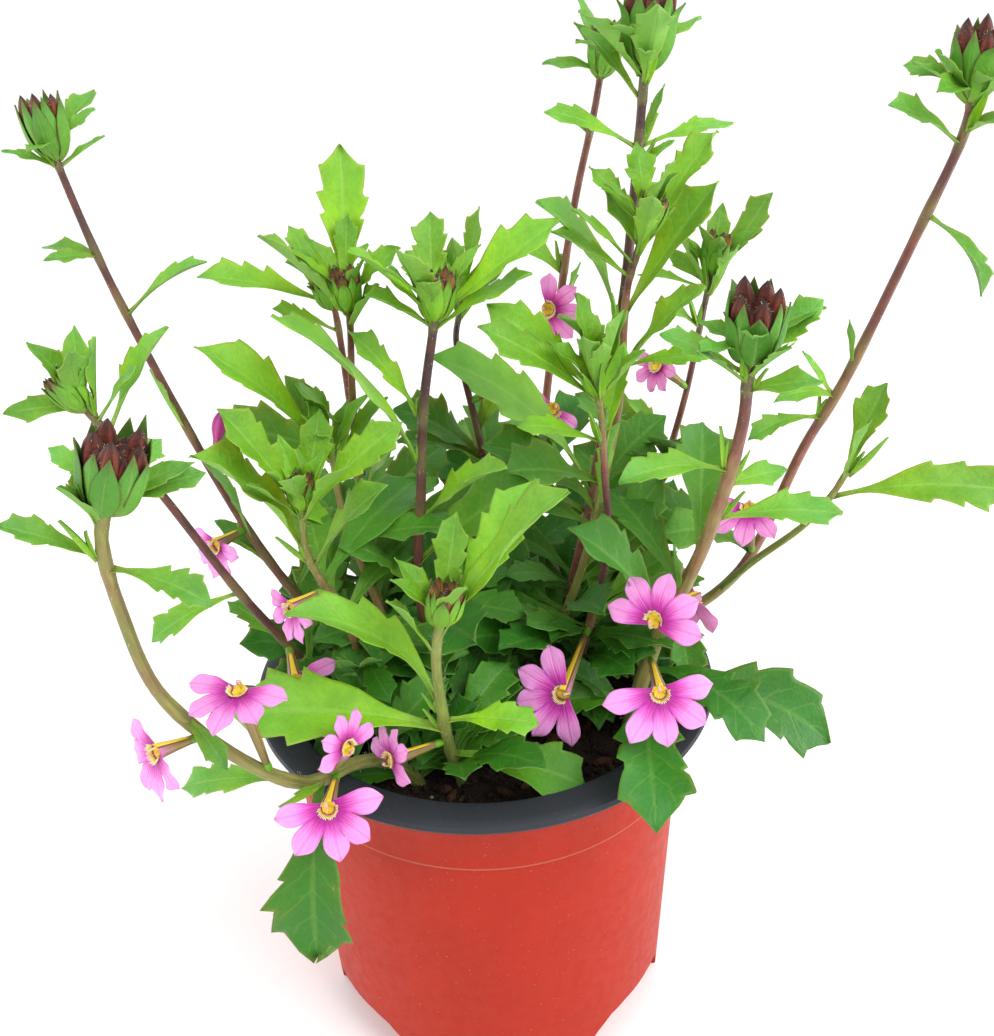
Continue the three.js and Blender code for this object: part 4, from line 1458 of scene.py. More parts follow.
    def add_bud(self, skin: Skin, turn: float, bud: Bud, height: float) -> None:
        """Adds one ribbed, pointed bud with a few bristles.

        Args:
            skin: where to add it.
            turn: its place round the head.
            bud: its sizes.
            height: the height of its tip.
        """
        count, foot = self.bud_steps, self.bud_foot
        line, radii = [], []
        for i in range(count + 1):
            share = i / count
            reach = bud.foot + (bud.top - bud.foot) * math.sin(share * math.pi / 2)
            line.append(self.at(turn, reach, foot + (height - foot) * share))
            radii.append(self.radius * bud.radius * blend_along(self.bud_profile, share))
        youth = min(1, max(0, (self.brown_size - self.size) / self.browning))
        mark = (self.draw.random(), youth, 0.0, 0.0)
        spindle(skin, 0, line, radii, mark, sides=self.bud_sides, ribs=self.bud_ribs)
        for _ in range(self.bristles):
            spot = min(count, round(self.draw.uniform(*self.bristle_along) * count))
            out = direction(self.draw.uniform(0, 360), self.draw.uniform(*self.bristle_lift))
            root = line[spot] + out * (radii[spot] * self.bristle_root)
            tip = root + out * self.bristle_length
            spindle(skin, 1, (root, tip), self.bristle_radii, sides=3)


@dataclass
class FanFlower:
    """An open flower: a slim tube, and petals spread like a fan round its mouth.

    The calyx, tube and hollow pair a place along them with the radius there.
    """

    number: int
    row: Sequence
    looks: "PlantLooks"
    calyx: tuple[Range, ...] = ((-0.3, 0.6), (0.5, 0.85), (1.4, 0.95), (2.4, 0.85), (3.0, 0.6))
    calyx_mark: Mark = (0.3, 0.4, 0, 0.5)
    calyx_sides: int = 10
    tube: tuple[Range, ...] = (
        (0.05, 0.75), (0.3, 0.95), (0.55, 1.15), (0.8, 1.45), (0.93, 1.65), (1.0, 1.75),
    )
    hollow: tuple[Range, ...] = ((0.05, 1.55), (0.3, 1.25), (0.6, 0.8), (0.8, 0.3))
    tube_root: float = 0.8
    mouth_rise: float = 0.5
    tube_sides: int = 14
    petal_places: tuple[int, ...] = (2, 1, 0, -1, -2)
    petal_steps: int = 18
    petal_length: Range = (0.82, 0.92)
    petal_width: Range = (1.22, 1.38)
    petal_turn: float = 4
    petal_curl: Range = (-0.6, 0.5)
    petal_root: float = 1.25
    petal_outline: tuple[Range, ...] = (
        (0, 0.5), (0.12, 0.58), (0.35, 0.82), (0.56, 0.99), (0.72, 1), (0.84, 0.76),
        (0.93, 0.36), (1, 0.04),
    )
    petal_ripple: float = 0.42
    petal_waves: float = 2.1
    petal_hollow: Range = (-0.12, 0.3)
    petal_half_thickness: float = 0.13
    petal_rib: float = 0.22
    fringe_hairs: int = 22
    fringe_start: float = -188
    fringe_turn: float = 196
    fringe_reach: float = 0.92
    fringe_length: Range = (0.9, 1.5)
    fringe_lean: float = 0.5
    fringe_heights: Range = (0.5, 1.0)
    fringe_bend: float = 0.6
    fringe_radii: Triple = (0.17, 0.13, 0.05)
    fringe_sides: int = 4
    style: tuple[Triple, ...] = (
        (0, 0.9, -0.5), (0, 1.5, 0.8), (0, 1.4, 1.8), (0, 0.8, 2.3), (0, 0.4, 2.2),
    )
    style_radii: tuple[float, ...] = (0.26, 0.26, 0.24, 0.42, 0.3)
    style_mark: Mark = (1, 0, 0, 0)
    style_sides: int = 7

    def build(self) -> Object:
        """Makes the flower as one object.

        Returns:
            The object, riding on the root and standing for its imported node.
        """
        stem, along, azimuth, _, _, face, roll, self.size = self.row
        line = stem_line(stem)
        share = line.share_of(along)
        self.draw = random.Random(f"{SEED} flower {self.number}")
        self.skin = Skin()
        heart = line.point(share)
        throat = self.throat_of(self.row)
        ahead = (throat - heart).normalized()
        self.frame = self.facing_frame(throat, direction(azimuth, face), roll)
        self.add_tube(heart + ahead * line.radius(share) * self.tube_root, throat)
        for place in self.petal_places:
            self.add_petal(-90 + PETAL_SPREAD * place)
        self.add_fringe()
        self.add_style()
        looks = self.looks
        piece = self.skin.finish(
            f"fan_flower_{self.number:02d}", (looks.petal, looks.tube, looks.fringe, looks.leaf)
        )
        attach(piece, "root")
        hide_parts(f"flower_{self.number:02d}")
        return piece

    @staticmethod
    def throat_of(row: Sequence) -> Vector:
        """Gives the place of a flower's throat from its row in the table."""
        stem, along, azimuth, lift, length = row[:5]
        line = stem_line(stem)
        foot = line.straight_point(line.share_of(along))
        return foot + direction(azimuth, lift) * (length - TUBE_INSET)

    @staticmethod
    def facing_frame(origin: Vector, ahead: Vector, roll: float) -> Matrix:
        """Gives a frame whose Z axis points ahead, turned by a roll from a level X axis."""
        side = UP.cross(ahead).normalized()
        above = ahead.cross(side)
        turned = Matrix((side, above, ahead)).transposed().to_4x4()
        return Matrix.Translation(origin) @ turned @ Matrix.Rotation(math.radians(roll), 4, "Z")

    def at(self, x: float, y: float, z: float) -> Vector:
        """Gives a point of the flower's own frame."""
        return self.frame @ Vector((x, y, z))

    def add_tube(self, foot: Vector, throat: Vector) -> None:
        """Adds the green calyx and the tube, which opens inside into a yellow hollow."""
        mouth = throat + self.frame.col[2].xyz * self.mouth_rise
        way = (throat - foot).normalized()
        ovary = [foot + way * step for step, _ in self.calyx]
        radii = [radius for _, radius in self.calyx]
        spindle(self.skin, CALYX, ovary, radii, self.calyx_mark, sides=self.calyx_sides)
        line = [foot.lerp(mouth, share) for share, _ in self.tube]
        line += [mouth - way * step for step, _ in self.hollow]
        wide = [radius for _, radius in self.tube + self.hollow]
        side, sides = level_side(way), self.tube_sides
        rings = [
            ring_round(point, side, way.cross(side), [radius] * sides)
            for point, radius in zip(line, wide)
        ]
        count = len(self.tube)
        self.skin.loft(
            rings,
            TUBE,
            lambda j, i: (float(j >= count), min(j, count - 1) / (count - 1), 0, 0),
            lambda j, i: (i / sides, j / len(line), 0),
        )

    def add_petal(self, angle: float) -> None:
        """Adds one petal: a firm middle with thin rippled wings and a small point.

        Args:
            angle: its direction in the fan's plane, in degrees.
        """
        draw = self.draw
        length = PETAL_LENGTH * self.size * draw.uniform(*self.petal_length)
        half = PETAL_HALF_WIDTH * self.size * draw.uniform(*self.petal_width)
        turn = math.radians(angle + draw.uniform(-self.petal_turn, self.petal_turn))
        ahead = Vector((math.cos(turn), math.sin(turn), 0))
        aside = Vector((math.sin(turn), -math.cos(turn), 0))
        curl = draw.uniform(*self.petal_curl)
        phases = (draw.uniform(0, math.tau), draw.uniform(0, math.tau))
        ripple = self.petal_ripple * self.size
        hollow, hollowing = self.petal_hollow
        bare = self.frame.to_3x3()
        stations = []
        for i in range(self.petal_steps + 1):
            share = i / self.petal_steps
            reach = self.petal_root + (length - self.petal_root) * share
            rise = fan_lift(reach / length) * self.size + curl * share * share
            slope = (FAN_RISE - 2 * FAN_FALL * reach / length) * self.size / length
            along = (ahead + Vector((0, 0, slope))).normalized()
            wide = half * blend_along(self.petal_outline, share)
            swing = math.tau * self.petal_waves * share
            waves = [ripple * share * math.sin(swing + phase) for phase in phases]
            stations.append(Station(
                point=self.frame @ (ahead * reach + Vector((0, 0, rise))),
                side=bare @ aside,
                above=bare @ aside.cross(along),
                ahead=bare @ along,
                share=share,
                left=wide,
                right=wide,
                hollow=hollow + hollowing * share,
                ripple_left=waves[0],
                ripple_right=waves[1],
                half_thickness=self.petal_half_thickness,
                rib=self.petal_rib * (1 - share),
            ))
        add_blade(self.skin, PETAL, stations, (0.0, 0.0, 0.0, draw.random()))

    def add_fringe(self) -> None:
        """Adds the short cream hairs round the lower edge of the mouth."""
        reach = THROAT_RADIUS * self.fringe_reach
        low, high = self.fringe_heights
        for i in range(self.fringe_hairs):
            turn = math.radians(self.fringe_start + self.fringe_turn * i / (self.fringe_hairs - 1))
            foot = self.at(math.cos(turn) * reach, math.sin(turn) * reach, low)
            lean = self.draw.uniform(*self.fringe_length) * self.fringe_lean
            far = reach + lean
            tip = self.at(math.cos(turn) * far, math.sin(turn) * far, high + lean)
            line = (foot, foot.lerp(tip, self.fringe_bend), tip)
            spindle(self.skin, FRINGE, line, self.fringe_radii, sides=self.fringe_sides)

    def add_style(self) -> None:
        """Adds the style, which bends over the mouth from its upper edge and ends in a cup."""
        line = [self.at(*(step * self.size for step in spot)) for spot in self.style]
        radii, sides = self.style_radii, self.style_sides
        spindle(self.skin, FRINGE, line, radii, self.style_mark, sides=sides)


def fan_lift(share: float) -> float:
    """Gives how far the fan stands forward of the throat at a share of a petal."""
    return FAN_RISE * share - FAN_FALL * share * share


@dataclass
class ClosedFlower:
    """A flower that hasn't opened: a slim upright club of folded petals."""

    looks: "PlantLooks"
    steps: int = 20
    sides: int = 20
    folds: tuple[int, float] = (5, 0.1)
    profile: tuple[Range, ...] = (
        (0, 0.5), (0.2, 0.5), (0.45, 0.56), (0.7, 1), (0.88, 0.8), (1, 0.06),
    )
    calyx_sink: float = 0.7
    calyx_steps: Range = (1.2, 2.8)
    calyx_radii: Triple = (0.7, 1.0, 0.6)
    calyx_mark: Mark = (0.3, 0.4, 0, 0.5)
    calyx_sides: int = 8

    def build(self) -> Object:
        """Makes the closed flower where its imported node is."""
        stem, along, azimuth, lift, length, radius = CLOSED_FLOWER
        line = stem_line(stem)
        share = line.share_of(along)
        out = direction(azimuth, 0)
        ahead = direction(azimuth, lift)
        foot = line.straight_point(share) + out * (line.radius(share) + radius / 2 + GAP)
        shares = [i / self.steps for i in range(self.steps + 1)]
        middle = [foot + ahead * (length * step) for step in shares]
        radii = [radius * blend_along(self.profile, step) for step in shares]
        calyx = [foot - out * self.calyx_sink]
        calyx += [foot + ahead * step for step in self.calyx_steps]
        skin = Skin()
        spindle(skin, 0, middle, radii, sides=self.sides, ribs=self.folds)
        spindle(skin, 1, calyx, self.calyx_radii, self.calyx_mark, sides=self.calyx_sides)
        piece = skin.finish("closed_flower", (self.looks.closed_petal, self.looks.leaf))
        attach(piece, "root")
        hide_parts("flower_closed")
        return piece


@dataclass
class NurseryPot:
    """The moulded pot: red outside, dark inside and on its wide lip.

    A notch has its height, half of its angle and how much deeper it bites at the foot.
    """

    sides: int = 144
    inner_floor: float = 16.0
    wall_heights: tuple[float, ...] = (5, 12, 13, 20, 30, 40, 50, 60, 70)
    small_notches: tuple[float, ...] = (95, 275)
    small_notch: Triple = (10, 9, 0)
    wide_notches: tuple[float, ...] = (36, 144, 216, 324)
    wide_notch: Triple = (14, 29, 18)
    notch_arch: tuple[Range, ...] = ((0.97, 0.14), (0.88, 0.4), (0.73, 0.7), (0.52, 0.92))
    notch_top: float = 0.25
    narrowing: float = 0.6
    flare: float = 1.15
    sharpest_smooth: float = 38

    @staticmethod
    def wall(height: float) -> float:
        """Gives the radius of the outer wall below the seam."""
        top = NECK_RADIUS - 1.5 * SEAM_STEP
        return BASE_RADIUS + (top - BASE_RADIUS) * height / (SEAM_HEIGHT - SEAM_STEP)

    def profile(self) -> list[tuple[float, float, int]]:
        """Gives the pot's outline as (radius, height, material) from the underside's middle."""
        lip_foot = POT_HEIGHT - LIP_DEPTH
        inner = NECK_RADIUS - WALL
        outside = [
            (0.01, 0), (BASE_RADIUS - 0.8, 0), (BASE_RADIUS - 0.2, 0.25), (BASE_RADIUS + 0.05, 0.9),
            *((self.wall(height), height) for height in self.wall_heights),
            (self.wall(SEAM_HEIGHT - SEAM_STEP), SEAM_HEIGHT - SEAM_STEP),
            (NECK_RADIUS - 0.9 * SEAM_STEP, SEAM_HEIGHT - 0.35),
            (NECK_RADIUS - 0.5 * SEAM_STEP, SEAM_HEIGHT),
            (NECK_RADIUS - 0.45 * SEAM_STEP, SEAM_HEIGHT + 0.8),
            (NECK_RADIUS - 0.1, lip_foot - LIP_EDGE - 0.6),
        ]
        dark = [
            (NECK_RADIUS + 0.3, lip_foot - LIP_EDGE), (NECK_RADIUS + 1.6, lip_foot - 0.5),
            (LIP_RADIUS - 1.2, lip_foot), (LIP_RADIUS - 0.35, lip_foot + 0.3),
            (LIP_RADIUS, lip_foot + 1.0), (LIP_RADIUS - 0.25, POT_HEIGHT - 0.65),
            (LIP_RADIUS - LIP_EDGE, POT_HEIGHT - 0.1), (LIP_RADIUS - 2.4, POT_HEIGHT),
            (inner + 1.2, POT_HEIGHT - 0.1), (inner + 0.2, POT_HEIGHT - 0.6),
            (inner, POT_HEIGHT - 1.8), (inner - INNER_TAPER, SEAM_HEIGHT),
            (BASE_RADIUS - WALL, self.inner_floor), (0.01, self.inner_floor),
        ]
        return [(*spot, 0) for spot in outside] + [(*spot, 1) for spot in dark]

    def build(self, red: Material, slate: Material) -> Object:
        """Makes the pot with its drain notches cut.

        Args:
            red: the outer plastic.
            slate: the inner plastic.

        Returns:
            The finished pot.
        """
        profile = self.profile()
        x_axis, y_axis = Vector((1, 0, 0)), Vector((0, 1, 0))
        rings = [
            ring_round(Vector((0, 0, height)), x_axis, y_axis, [radius] * self.sides)
            for radius, height, _ in profile
        ]
        skin = Skin()
        skin.loft(rings, 0, lambda j, i: NO_MARK, lambda j, i: (i / self.sides, j / 10, 0))
        for j, (_, _, look) in enumerate(profile[1:]):
            skin.slots[j * self.sides:(j + 1) * self.sides] = [look] * self.sides
        skin.slots[-1] = 1
        pot = skin.finish("nursery_pot", (red, slate))
        self.cut_notches(pot, red)
        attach(pot, "root")
        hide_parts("pot")
        return pot

    def cut_notches(self, pot: Object, red: Material) -> None:
        """Cuts the drain notches out of the pot's foot."""
        cutter = self.notch_cutter(red)
        cut = pot.modifiers.new("notches", "BOOLEAN")
        cut.object = cutter
        cut.operation = "DIFFERENCE"
        cut.solver = "EXACT"
        carved = bpy.data.meshes.new_from_object(
            pot.evaluated_get(bpy.context.evaluated_depsgraph_get())
        )
        pot.modifiers.clear()
        pot.data = carved
        carved.set_sharp_from_angle(angle=math.radians(self.sharpest_smooth))
        bpy.data.objects.remove(cutter)

    def notch_cutter(self, red: Material) -> Object:
        """Makes the wedges that bite the shallow and the wide drain notches out of the foot."""
        skin = Skin()
        notches = [(turn, self.small_notch) for turn in self.small_notches]
        notches += [(turn, self.wide_notch) for turn in self.wide_notches]
        for degrees, sizes in notches:
            turn = Matrix.Rotation(math.radians(degrees), 3, "Z")
            rings = [[turn @ spot for spot in ring] for ring in self.notch_rings(*sizes)]
            skin.loft(rings, 0, lambda j, i: NO_MARK, lambda j, i: (0, 0, 0))
        return skin.finish("notch_cutter", (red,))

    def notch_rings(self, high: float, half_angle: float, depth: float) -> list[list[Vector]]:
        """Gives the inner and outer outline of the wedge that cuts a notch on the +X side.

        Args:
            high: the notch's height.
            half_angle: half of the angle that it takes up, in degrees.
            depth: how much deeper it bites at the foot than at its top.

        Returns:
            The two rings of points.
        """
        half = BASE_RADIUS * math.sin(math.radians(half_angle))
        arch = [(x, share * high) for x, share in self.notch_arch]
        arch = [(1, -1), *arch, (self.notch_top, high)]
        section = [(half * x, z) for x, z in arch]
        section += [(-x, z) for x, z in reversed(section)]
        inner = []
        for x, z in section:
            bite = NOTCH_BITE + depth * max(0.0, 1 - max(z, 0) / high)
            narrow = 1 - self.narrowing * bite / BASE_RADIUS
            inner.append(Vector((BASE_RADIUS - bite, x * narrow, z)))
        far = BASE_RADIUS + NOTCH_REACH
        return [inner, [Vector((far, x * self.flare, z)) for x, z in section]]


@dataclass
class PottingSoil:
    """The damp soil: an uneven surface with crumbs, chips of bark and a few pale grains.

    Bumps have their scale, the layer of noise that they come from and their height.
    """

    sides: int = 120
    steps: int = 40
    depth: float = 6
    rim_gap: float = 0.1
    lowering: float = 0.3
    level_share: float = 0.6
    broad_bumps: Triple = (0.09, 3, 1.1)
    fine_bumps: Triple = (0.5, 9, 0.7)
    crumbs: int = 900
    crumb_reach: float = 0.97
    crumb_size: Range = (0.5, 1.4)
    grain_size: Range = (0.4, 0.7)
    chip_length: Range = (1.6, 3)
    first_chip: float = 0.8
    first_grain: float = 0.95
    crumb_tilt: float = 15
    crumb_sink: float = 0.25
    crumb_wear: Range = (0.7, 1.1)
    crumb_sides: int = 6
    crumb_profile: tuple[Range, ...] = ((-1, 0.3), (-0.6, 0.85), (0.1, 1), (0.7, 0.75), (1, 0.25))

    def height(self, x: float, y: float) -> float:
        """Gives the height of the surface at a place, in millimetres."""
        wide = NECK_RADIUS - WALL - INNER_TAPER - GAP
        edge = max(0.0, math.hypot(x, y) / wide - self.level_share) / (1 - self.level_share)
        broad, fine = (
            noise.noise(Vector((x * scale, y * scale, layer))) * height
            for scale, layer, height in (self.broad_bumps, self.fine_bumps)
        )
        return SOIL_LEVEL - self.lowering - edge + broad + fine

    def build(self, looks: Sequence[Material]) -> Object:
        """Makes the soil as one object.

        Args:
            looks: the soil's material.

        Returns:
            The soil.
        """
        draw = random.Random(f"{SEED} soil")
        wide = NECK_RADIUS - WALL - INNER_TAPER - self.rim_gap
        reaches = [wide * i / self.steps for i in range(self.steps, 0, -1)] + [0.05]
        turns = [math.tau * i / self.sides for i in range(self.sides)]
        ways = [(math.cos(turn), math.sin(turn)) for turn in turns]
        rings = [[Vector((x * wide, y * wide, SOIL_LEVEL - self.depth)) for x, y in ways]]
        for reach in reaches:
            spots = [(x * reach, y * reach) for x, y in ways]
            rings.append([Vector((x, y, self.height(x, y))) for x, y in spots])
        skin = Skin()
        skin.loft(rings, 0, lambda j, i: (0.3, 0, 0, 0), lambda j, i: (0, 0, 0))
        for _ in range(self.crumbs):
            self.add_crumb(skin, draw, wide)
        piece = skin.finish("potting_soil", looks)
        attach(piece, "root")
        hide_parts("soil")
        return piece

    def add_crumb(self, skin: Skin, draw: random.Random, wide: float) -> None:
        """Adds one crumb, lying half sunk in the surface."""
        reach = wide * self.crumb_reach * math.sqrt(draw.random())
        turn = draw.uniform(0, math.tau)
        x, y = math.cos(turn) * reach, math.sin(turn) * reach
        kind = draw.random()
        is_chip = self.first_chip < kind < self.first_grain
        sizes = self.crumb_size if kind < self.first_grain else self.grain_size
        size = draw.uniform(*sizes)
        way = direction(draw.uniform(0, 360), draw.uniform(-self.crumb_tilt, self.crumb_tilt))
        long = size * (draw.uniform(*self.chip_length) if is_chip else 1)
        centre = Vector((x, y, self.height(x, y) + size * self.crumb_sink))
        line = [centre + way * (long * step) for step, _ in self.crumb_profile]
        radii = [size * wide * draw.uniform(*self.crumb_wear) for _, wide in self.crumb_profile]
        spindle(skin, 0, line, radii, (kind, 0, 0, 0), sides=self.crumb_sides)


Tint = tuple[float, float, float, float]
Stop = tuple[float, Tint]
Value = float | NodeSocket
Colour = Tint | NodeSocket


def tint(red: int, green: int, blue: int) -> Tint:
    """Turns a screen colour of 0 to 255 into the linear colour that materials use."""
    linear = []
    for level in (red, green, blue):
        share = level / 255
        linear.append(share / 12.92 if share <= 0.04045 else ((share + 0.055) / 1.055) ** 2.4)
    return (*linear, 1.0)


@dataclass(frozen=True)
class Coat:
    """A colour that is laid over another, and how strongly."""

    colour: Tint
    strength: float = 1.0


class Wiring:
    """Adds nodes to a material or a node group, one short call for each."""

    def __init__(self, tree: NodeTree) -> None:
        """Takes the tree to add to.

        Args:
            tree: the material's or group's node tree.
        """
        self.tree = tree

    def node(self, kind: str, **settings: object) -> Node:
        """Adds a node of a kind with some of its settings."""
        made = self.tree.nodes.new(kind)
        for name, setting in settings.items():
            setattr(made, name, setting)
        return made

    def feed(self, socket: NodeSocket, value: object) -> None:
        """Links a socket to another, or gives it a constant."""
        if isinstance(value, NodeSocket):
            self.tree.links.new(value, socket)
        else:
            socket.default_value = value

    def sum(self, operation: str, *values: Value) -> NodeSocket:
        """Gives the result of a sum, held between 0 and 1 where its name ends in a mark."""
        made = self.node("ShaderNodeMath", operation=operation.rstrip("!"))
        made.use_clamp = operation.endswith("!")
        for socket, value in zip(made.inputs, values):
            self.feed(socket, value)
        return made.outputs[0]

    def mix(self, share: Value, first: Colour, second: Colour) -> NodeSocket:
        """Mixes two colours."""
        made = self.node("ShaderNodeMix", data_type="RGBA")
        self.feed(made.inputs[0], share)
        self.feed(made.inputs[6], first)
        self.feed(made.inputs[7], second)
        return made.outputs[2]

    def lay(self, under: Colour, coat: Coat, mask: Value) -> NodeSocket:
        """Lays a coat over a colour where its mask shows it."""
        return self.mix(self.sum("MULTIPLY", mask, coat.strength), under, coat.colour)

    def shade(self, colour: Colour, level: Value) -> NodeSocket:
        """Makes a colour darker or lighter by a factor."""
        made = self.node("ShaderNodeHueSaturation")
        self.feed(made.inputs["Value"], level)
        self.feed(made.inputs["Color"], colour)
        return made.outputs[0]

    def ease(self, value: Value, low: float, high: float) -> NodeSocket:
        """Gives a mask that rises smoothly from 0 at one value to 1 at another."""
        made = self.node("ShaderNodeMapRange", interpolation_type="SMOOTHSTEP")
        self.feed(made.inputs["Value"], value)
        made.inputs["From Min"].default_value = min(low, high)
        made.inputs["From Max"].default_value = max(low, high)
        made.inputs["To Min"].default_value = float(low > high)
        made.inputs["To Max"].default_value = float(low < high)
        return made.outputs[0]

    def span(self, value: Value, low: float, high: float) -> NodeSocket:
        """Stretches a value of 0 to 1 over a range."""
        return self.sum("MULTIPLY_ADD", value, high - low, low)

    def ridges(self, around: Value, count: int) -> NodeSocket:
        """Gives a mask that is high along evenly set ridges of a round body."""
        turn = self.sum("MULTIPLY", around, math.tau * count)
        return self.span(self.sum("COSINE", turn), 0.5, 1.0)

    def ramp(self, value: Value, stops: Sequence[Stop]) -> NodeSocket:
        """Reads a colour from a row of stops."""
        made = self.node("ShaderNodeValToRGB")
        bar = made.color_ramp.elements
        while len(bar) < len(stops):
            bar.new(1.0)
        for element, (place, colour) in zip(bar, stops):
            element.position = place
            element.color = colour
        self.feed(made.inputs[0], value)
        return made.outputs[0]

    def grain(self, where: NodeSocket, scale: float, detail: float = 3) -> NodeSocket:
        """Gives a soft random value of 0 to 1."""
        made = self.node("ShaderNodeTexNoise")
        self.feed(made.inputs["Vector"], where)
        made.inputs["Scale"].default_value = scale
        made.inputs["Detail"].default_value = detail
        return made.outputs[0]

    def split(self, vector: NodeSocket) -> list[NodeSocket]:
        """Gives the three numbers of a vector."""
        made = self.node("ShaderNodeSeparateXYZ")
        self.feed(made.inputs[0], vector)
        return list(made.outputs)

    def join(self, x: Value, y: Value, z: Value) -> NodeSocket:
        """Makes a vector of three numbers."""
        made = self.node("ShaderNodeCombineXYZ")
        for socket, value in zip(made.inputs, (x, y, z)):
            self.feed(socket, value)
        return made.outputs[0]

    def where(self) -> NodeSocket:
        """Gives the place in the object, in metres."""
        return self.node("ShaderNodeTexCoord").outputs["Object"]

    def growth(self) -> tuple[NodeSocket, ...]:
        """Gives the four numbers of the mark."""
        made = self.node("ShaderNodeAttribute", attribute_name="growth")
        return (*self.split(made.outputs["Vector"]), made.outputs["Alpha"])

    def place(self) -> list[NodeSocket]:
        """Gives the three numbers of the place on a blade, stem or petal."""
        made = self.node("ShaderNodeAttribute", attribute_name="place")
        return self.split(made.outputs["Vector"])

    def group(self, tree: NodeTree, **values: Value) -> Node:
        """Adds a shared group and feeds its inputs."""
        made = self.node("ShaderNodeGroup", node_tree=tree)
        for name, value in values.items():
            self.feed(made.inputs[name.capitalize()], value)
        return made


def new_group(
    name: str, inputs: Sequence[tuple[str, str]], outputs: Sequence[tuple[str, str]]
) -> tuple[Wiring, Node, Node]:
    """Starts a shared group of nodes.

    Args:
        name: its name.
        inputs: name and kind of each input.
        outputs: name and kind of each output.

    Returns:
        The wiring of the group, and its input and output nodes.
    """
    tree = bpy.data.node_groups.new(name, "ShaderNodeTree")
    for side, sockets in (("INPUT", inputs), ("OUTPUT", outputs)):
        for label, kind in sockets:
            tree.interface.new_socket(label, in_out=side, socket_type=f"NodeSocket{kind}")
    wiring = Wiring(tree)
    return wiring, wiring.node("NodeGroupInput"), wiring.node("NodeGroupOutput")


def make_mottle() -> NodeTree:
    """Makes the group that gives broad and fine uneven patches."""
    w, given, result = new_group(
        "mottle", (("Size", "Float"),), (("Broad", "Float"), ("Fine", "Float"))
    )
    scaled = w.node("ShaderNodeVectorMath", operation="SCALE")
    w.feed(scaled.inputs[0], w.where())
    w.feed(scaled.inputs["Scale"], w.sum("DIVIDE", 1.0, given.outputs["Size"]))
    w.feed(result.inputs["Broad"], w.ease(w.grain(scaled.outputs[0], 1.0), 0.3, 0.7))
    w.feed(result.inputs["Fine"], w.ease(w.grain(scaled.outputs[0], 6.0, 2), 0.3, 0.7))
    return w.tree


def make_veins() -> NodeTree:
    """Makes the group that draws a blade's midrib, side veins and edge from its place."""
    w, given, result = new_group(
        "veins",
        (("Across", "Float"), ("Along", "Float"), ("Pairs", "Float")),
        (("Midrib", "Float"), ("Side", "Float"), ("Edge", "Float")),
    )
    across, along, pairs = given.outputs[:3]
    reach = w.sum("MULTIPLY", w.sum("ABSOLUTE", w.sum("SUBTRACT", across, 0.5)), 2.0)
    slant = w.sum("SUBTRACT", along, w.sum("MULTIPLY", reach, 0.16))
    wave = w.sum("PINGPONG", w.sum("MULTIPLY", slant, pairs), 0.5)
    line = w.ease(wave, 0.09, 0.0)
    w.feed(result.inputs["Midrib"], w.ease(reach, 0.13, 0.03))
    w.feed(result.inputs["Side"], w.sum("MULTIPLY", line, w.ease(reach, 1.0, 0.5)))
    w.feed(result.inputs["Edge"], w.ease(reach, 0.87, 0.97))
    return w.tree


def make_streaks() -> NodeTree:
    """Makes the group that draws uneven lines along a petal, stem or bud."""
    w, given, result = new_group(
        "streaks",
        (("Across", "Float"), ("Along", "Float"), ("Lines", "Float")),
        (("Streak", "Float"),),
    )
    across, along, lines = given.outputs[:3]
    spot = w.join(w.sum("MULTIPLY", across, lines), w.sum("MULTIPLY", along, 1.2), 0.0)
    w.feed(result.inputs["Streak"], w.ease(w.grain(spot, 1.0, 2), 0.38, 0.66))
    return w.tree


class Finish:
    """A material in the making: a Principled shader and the wiring that feeds it."""

    def __init__(self, name: str, constants: dict[str, float]) -> None:
        """Starts the material.

        Args:
            name: its name.
            constants: fixed values of the shader's own sockets.
        """
        self.material = bpy.data.materials.new(name)
        self.material.use_nodes = True
        tree = self.material.node_tree
        tree.nodes.clear()
        self.w = Wiring(tree)
        self.shader = self.w.node("ShaderNodeBsdfPrincipled")
        output = self.w.node("ShaderNodeOutputMaterial")
        tree.links.new(self.shader.outputs[0], output.inputs["Surface"])
        for label, value in constants.items():
            self.shader.inputs[label].default_value = value

    def dress(self, colour: Colour, roughness: Value, height: Value, depth: float) -> Material:
        """Feeds the shader and ends the material.

        Args:
            colour: its colour.
            roughness: its roughness.
            height: its fine relief, 0 to 1.
            depth: how deep the relief is, in millimetres.

        Returns:
            The material.
        """
        bump = self.w.node("ShaderNodeBump")
        bump.inputs["Distance"].default_value = depth * MM
        self.w.feed(bump.inputs["Height"], height)
        self.w.feed(self.shader.inputs["Base Color"], colour)
        self.w.feed(self.shader.inputs["Roughness"], roughness)
        self.w.feed(self.shader.inputs["Normal"], bump.outputs[0])
        return self.material


@dataclass(frozen=True)
class Groups:
    """The node groups that several finishes share."""

    mottle: NodeTree
    veins: NodeTree
    streaks: NodeTree


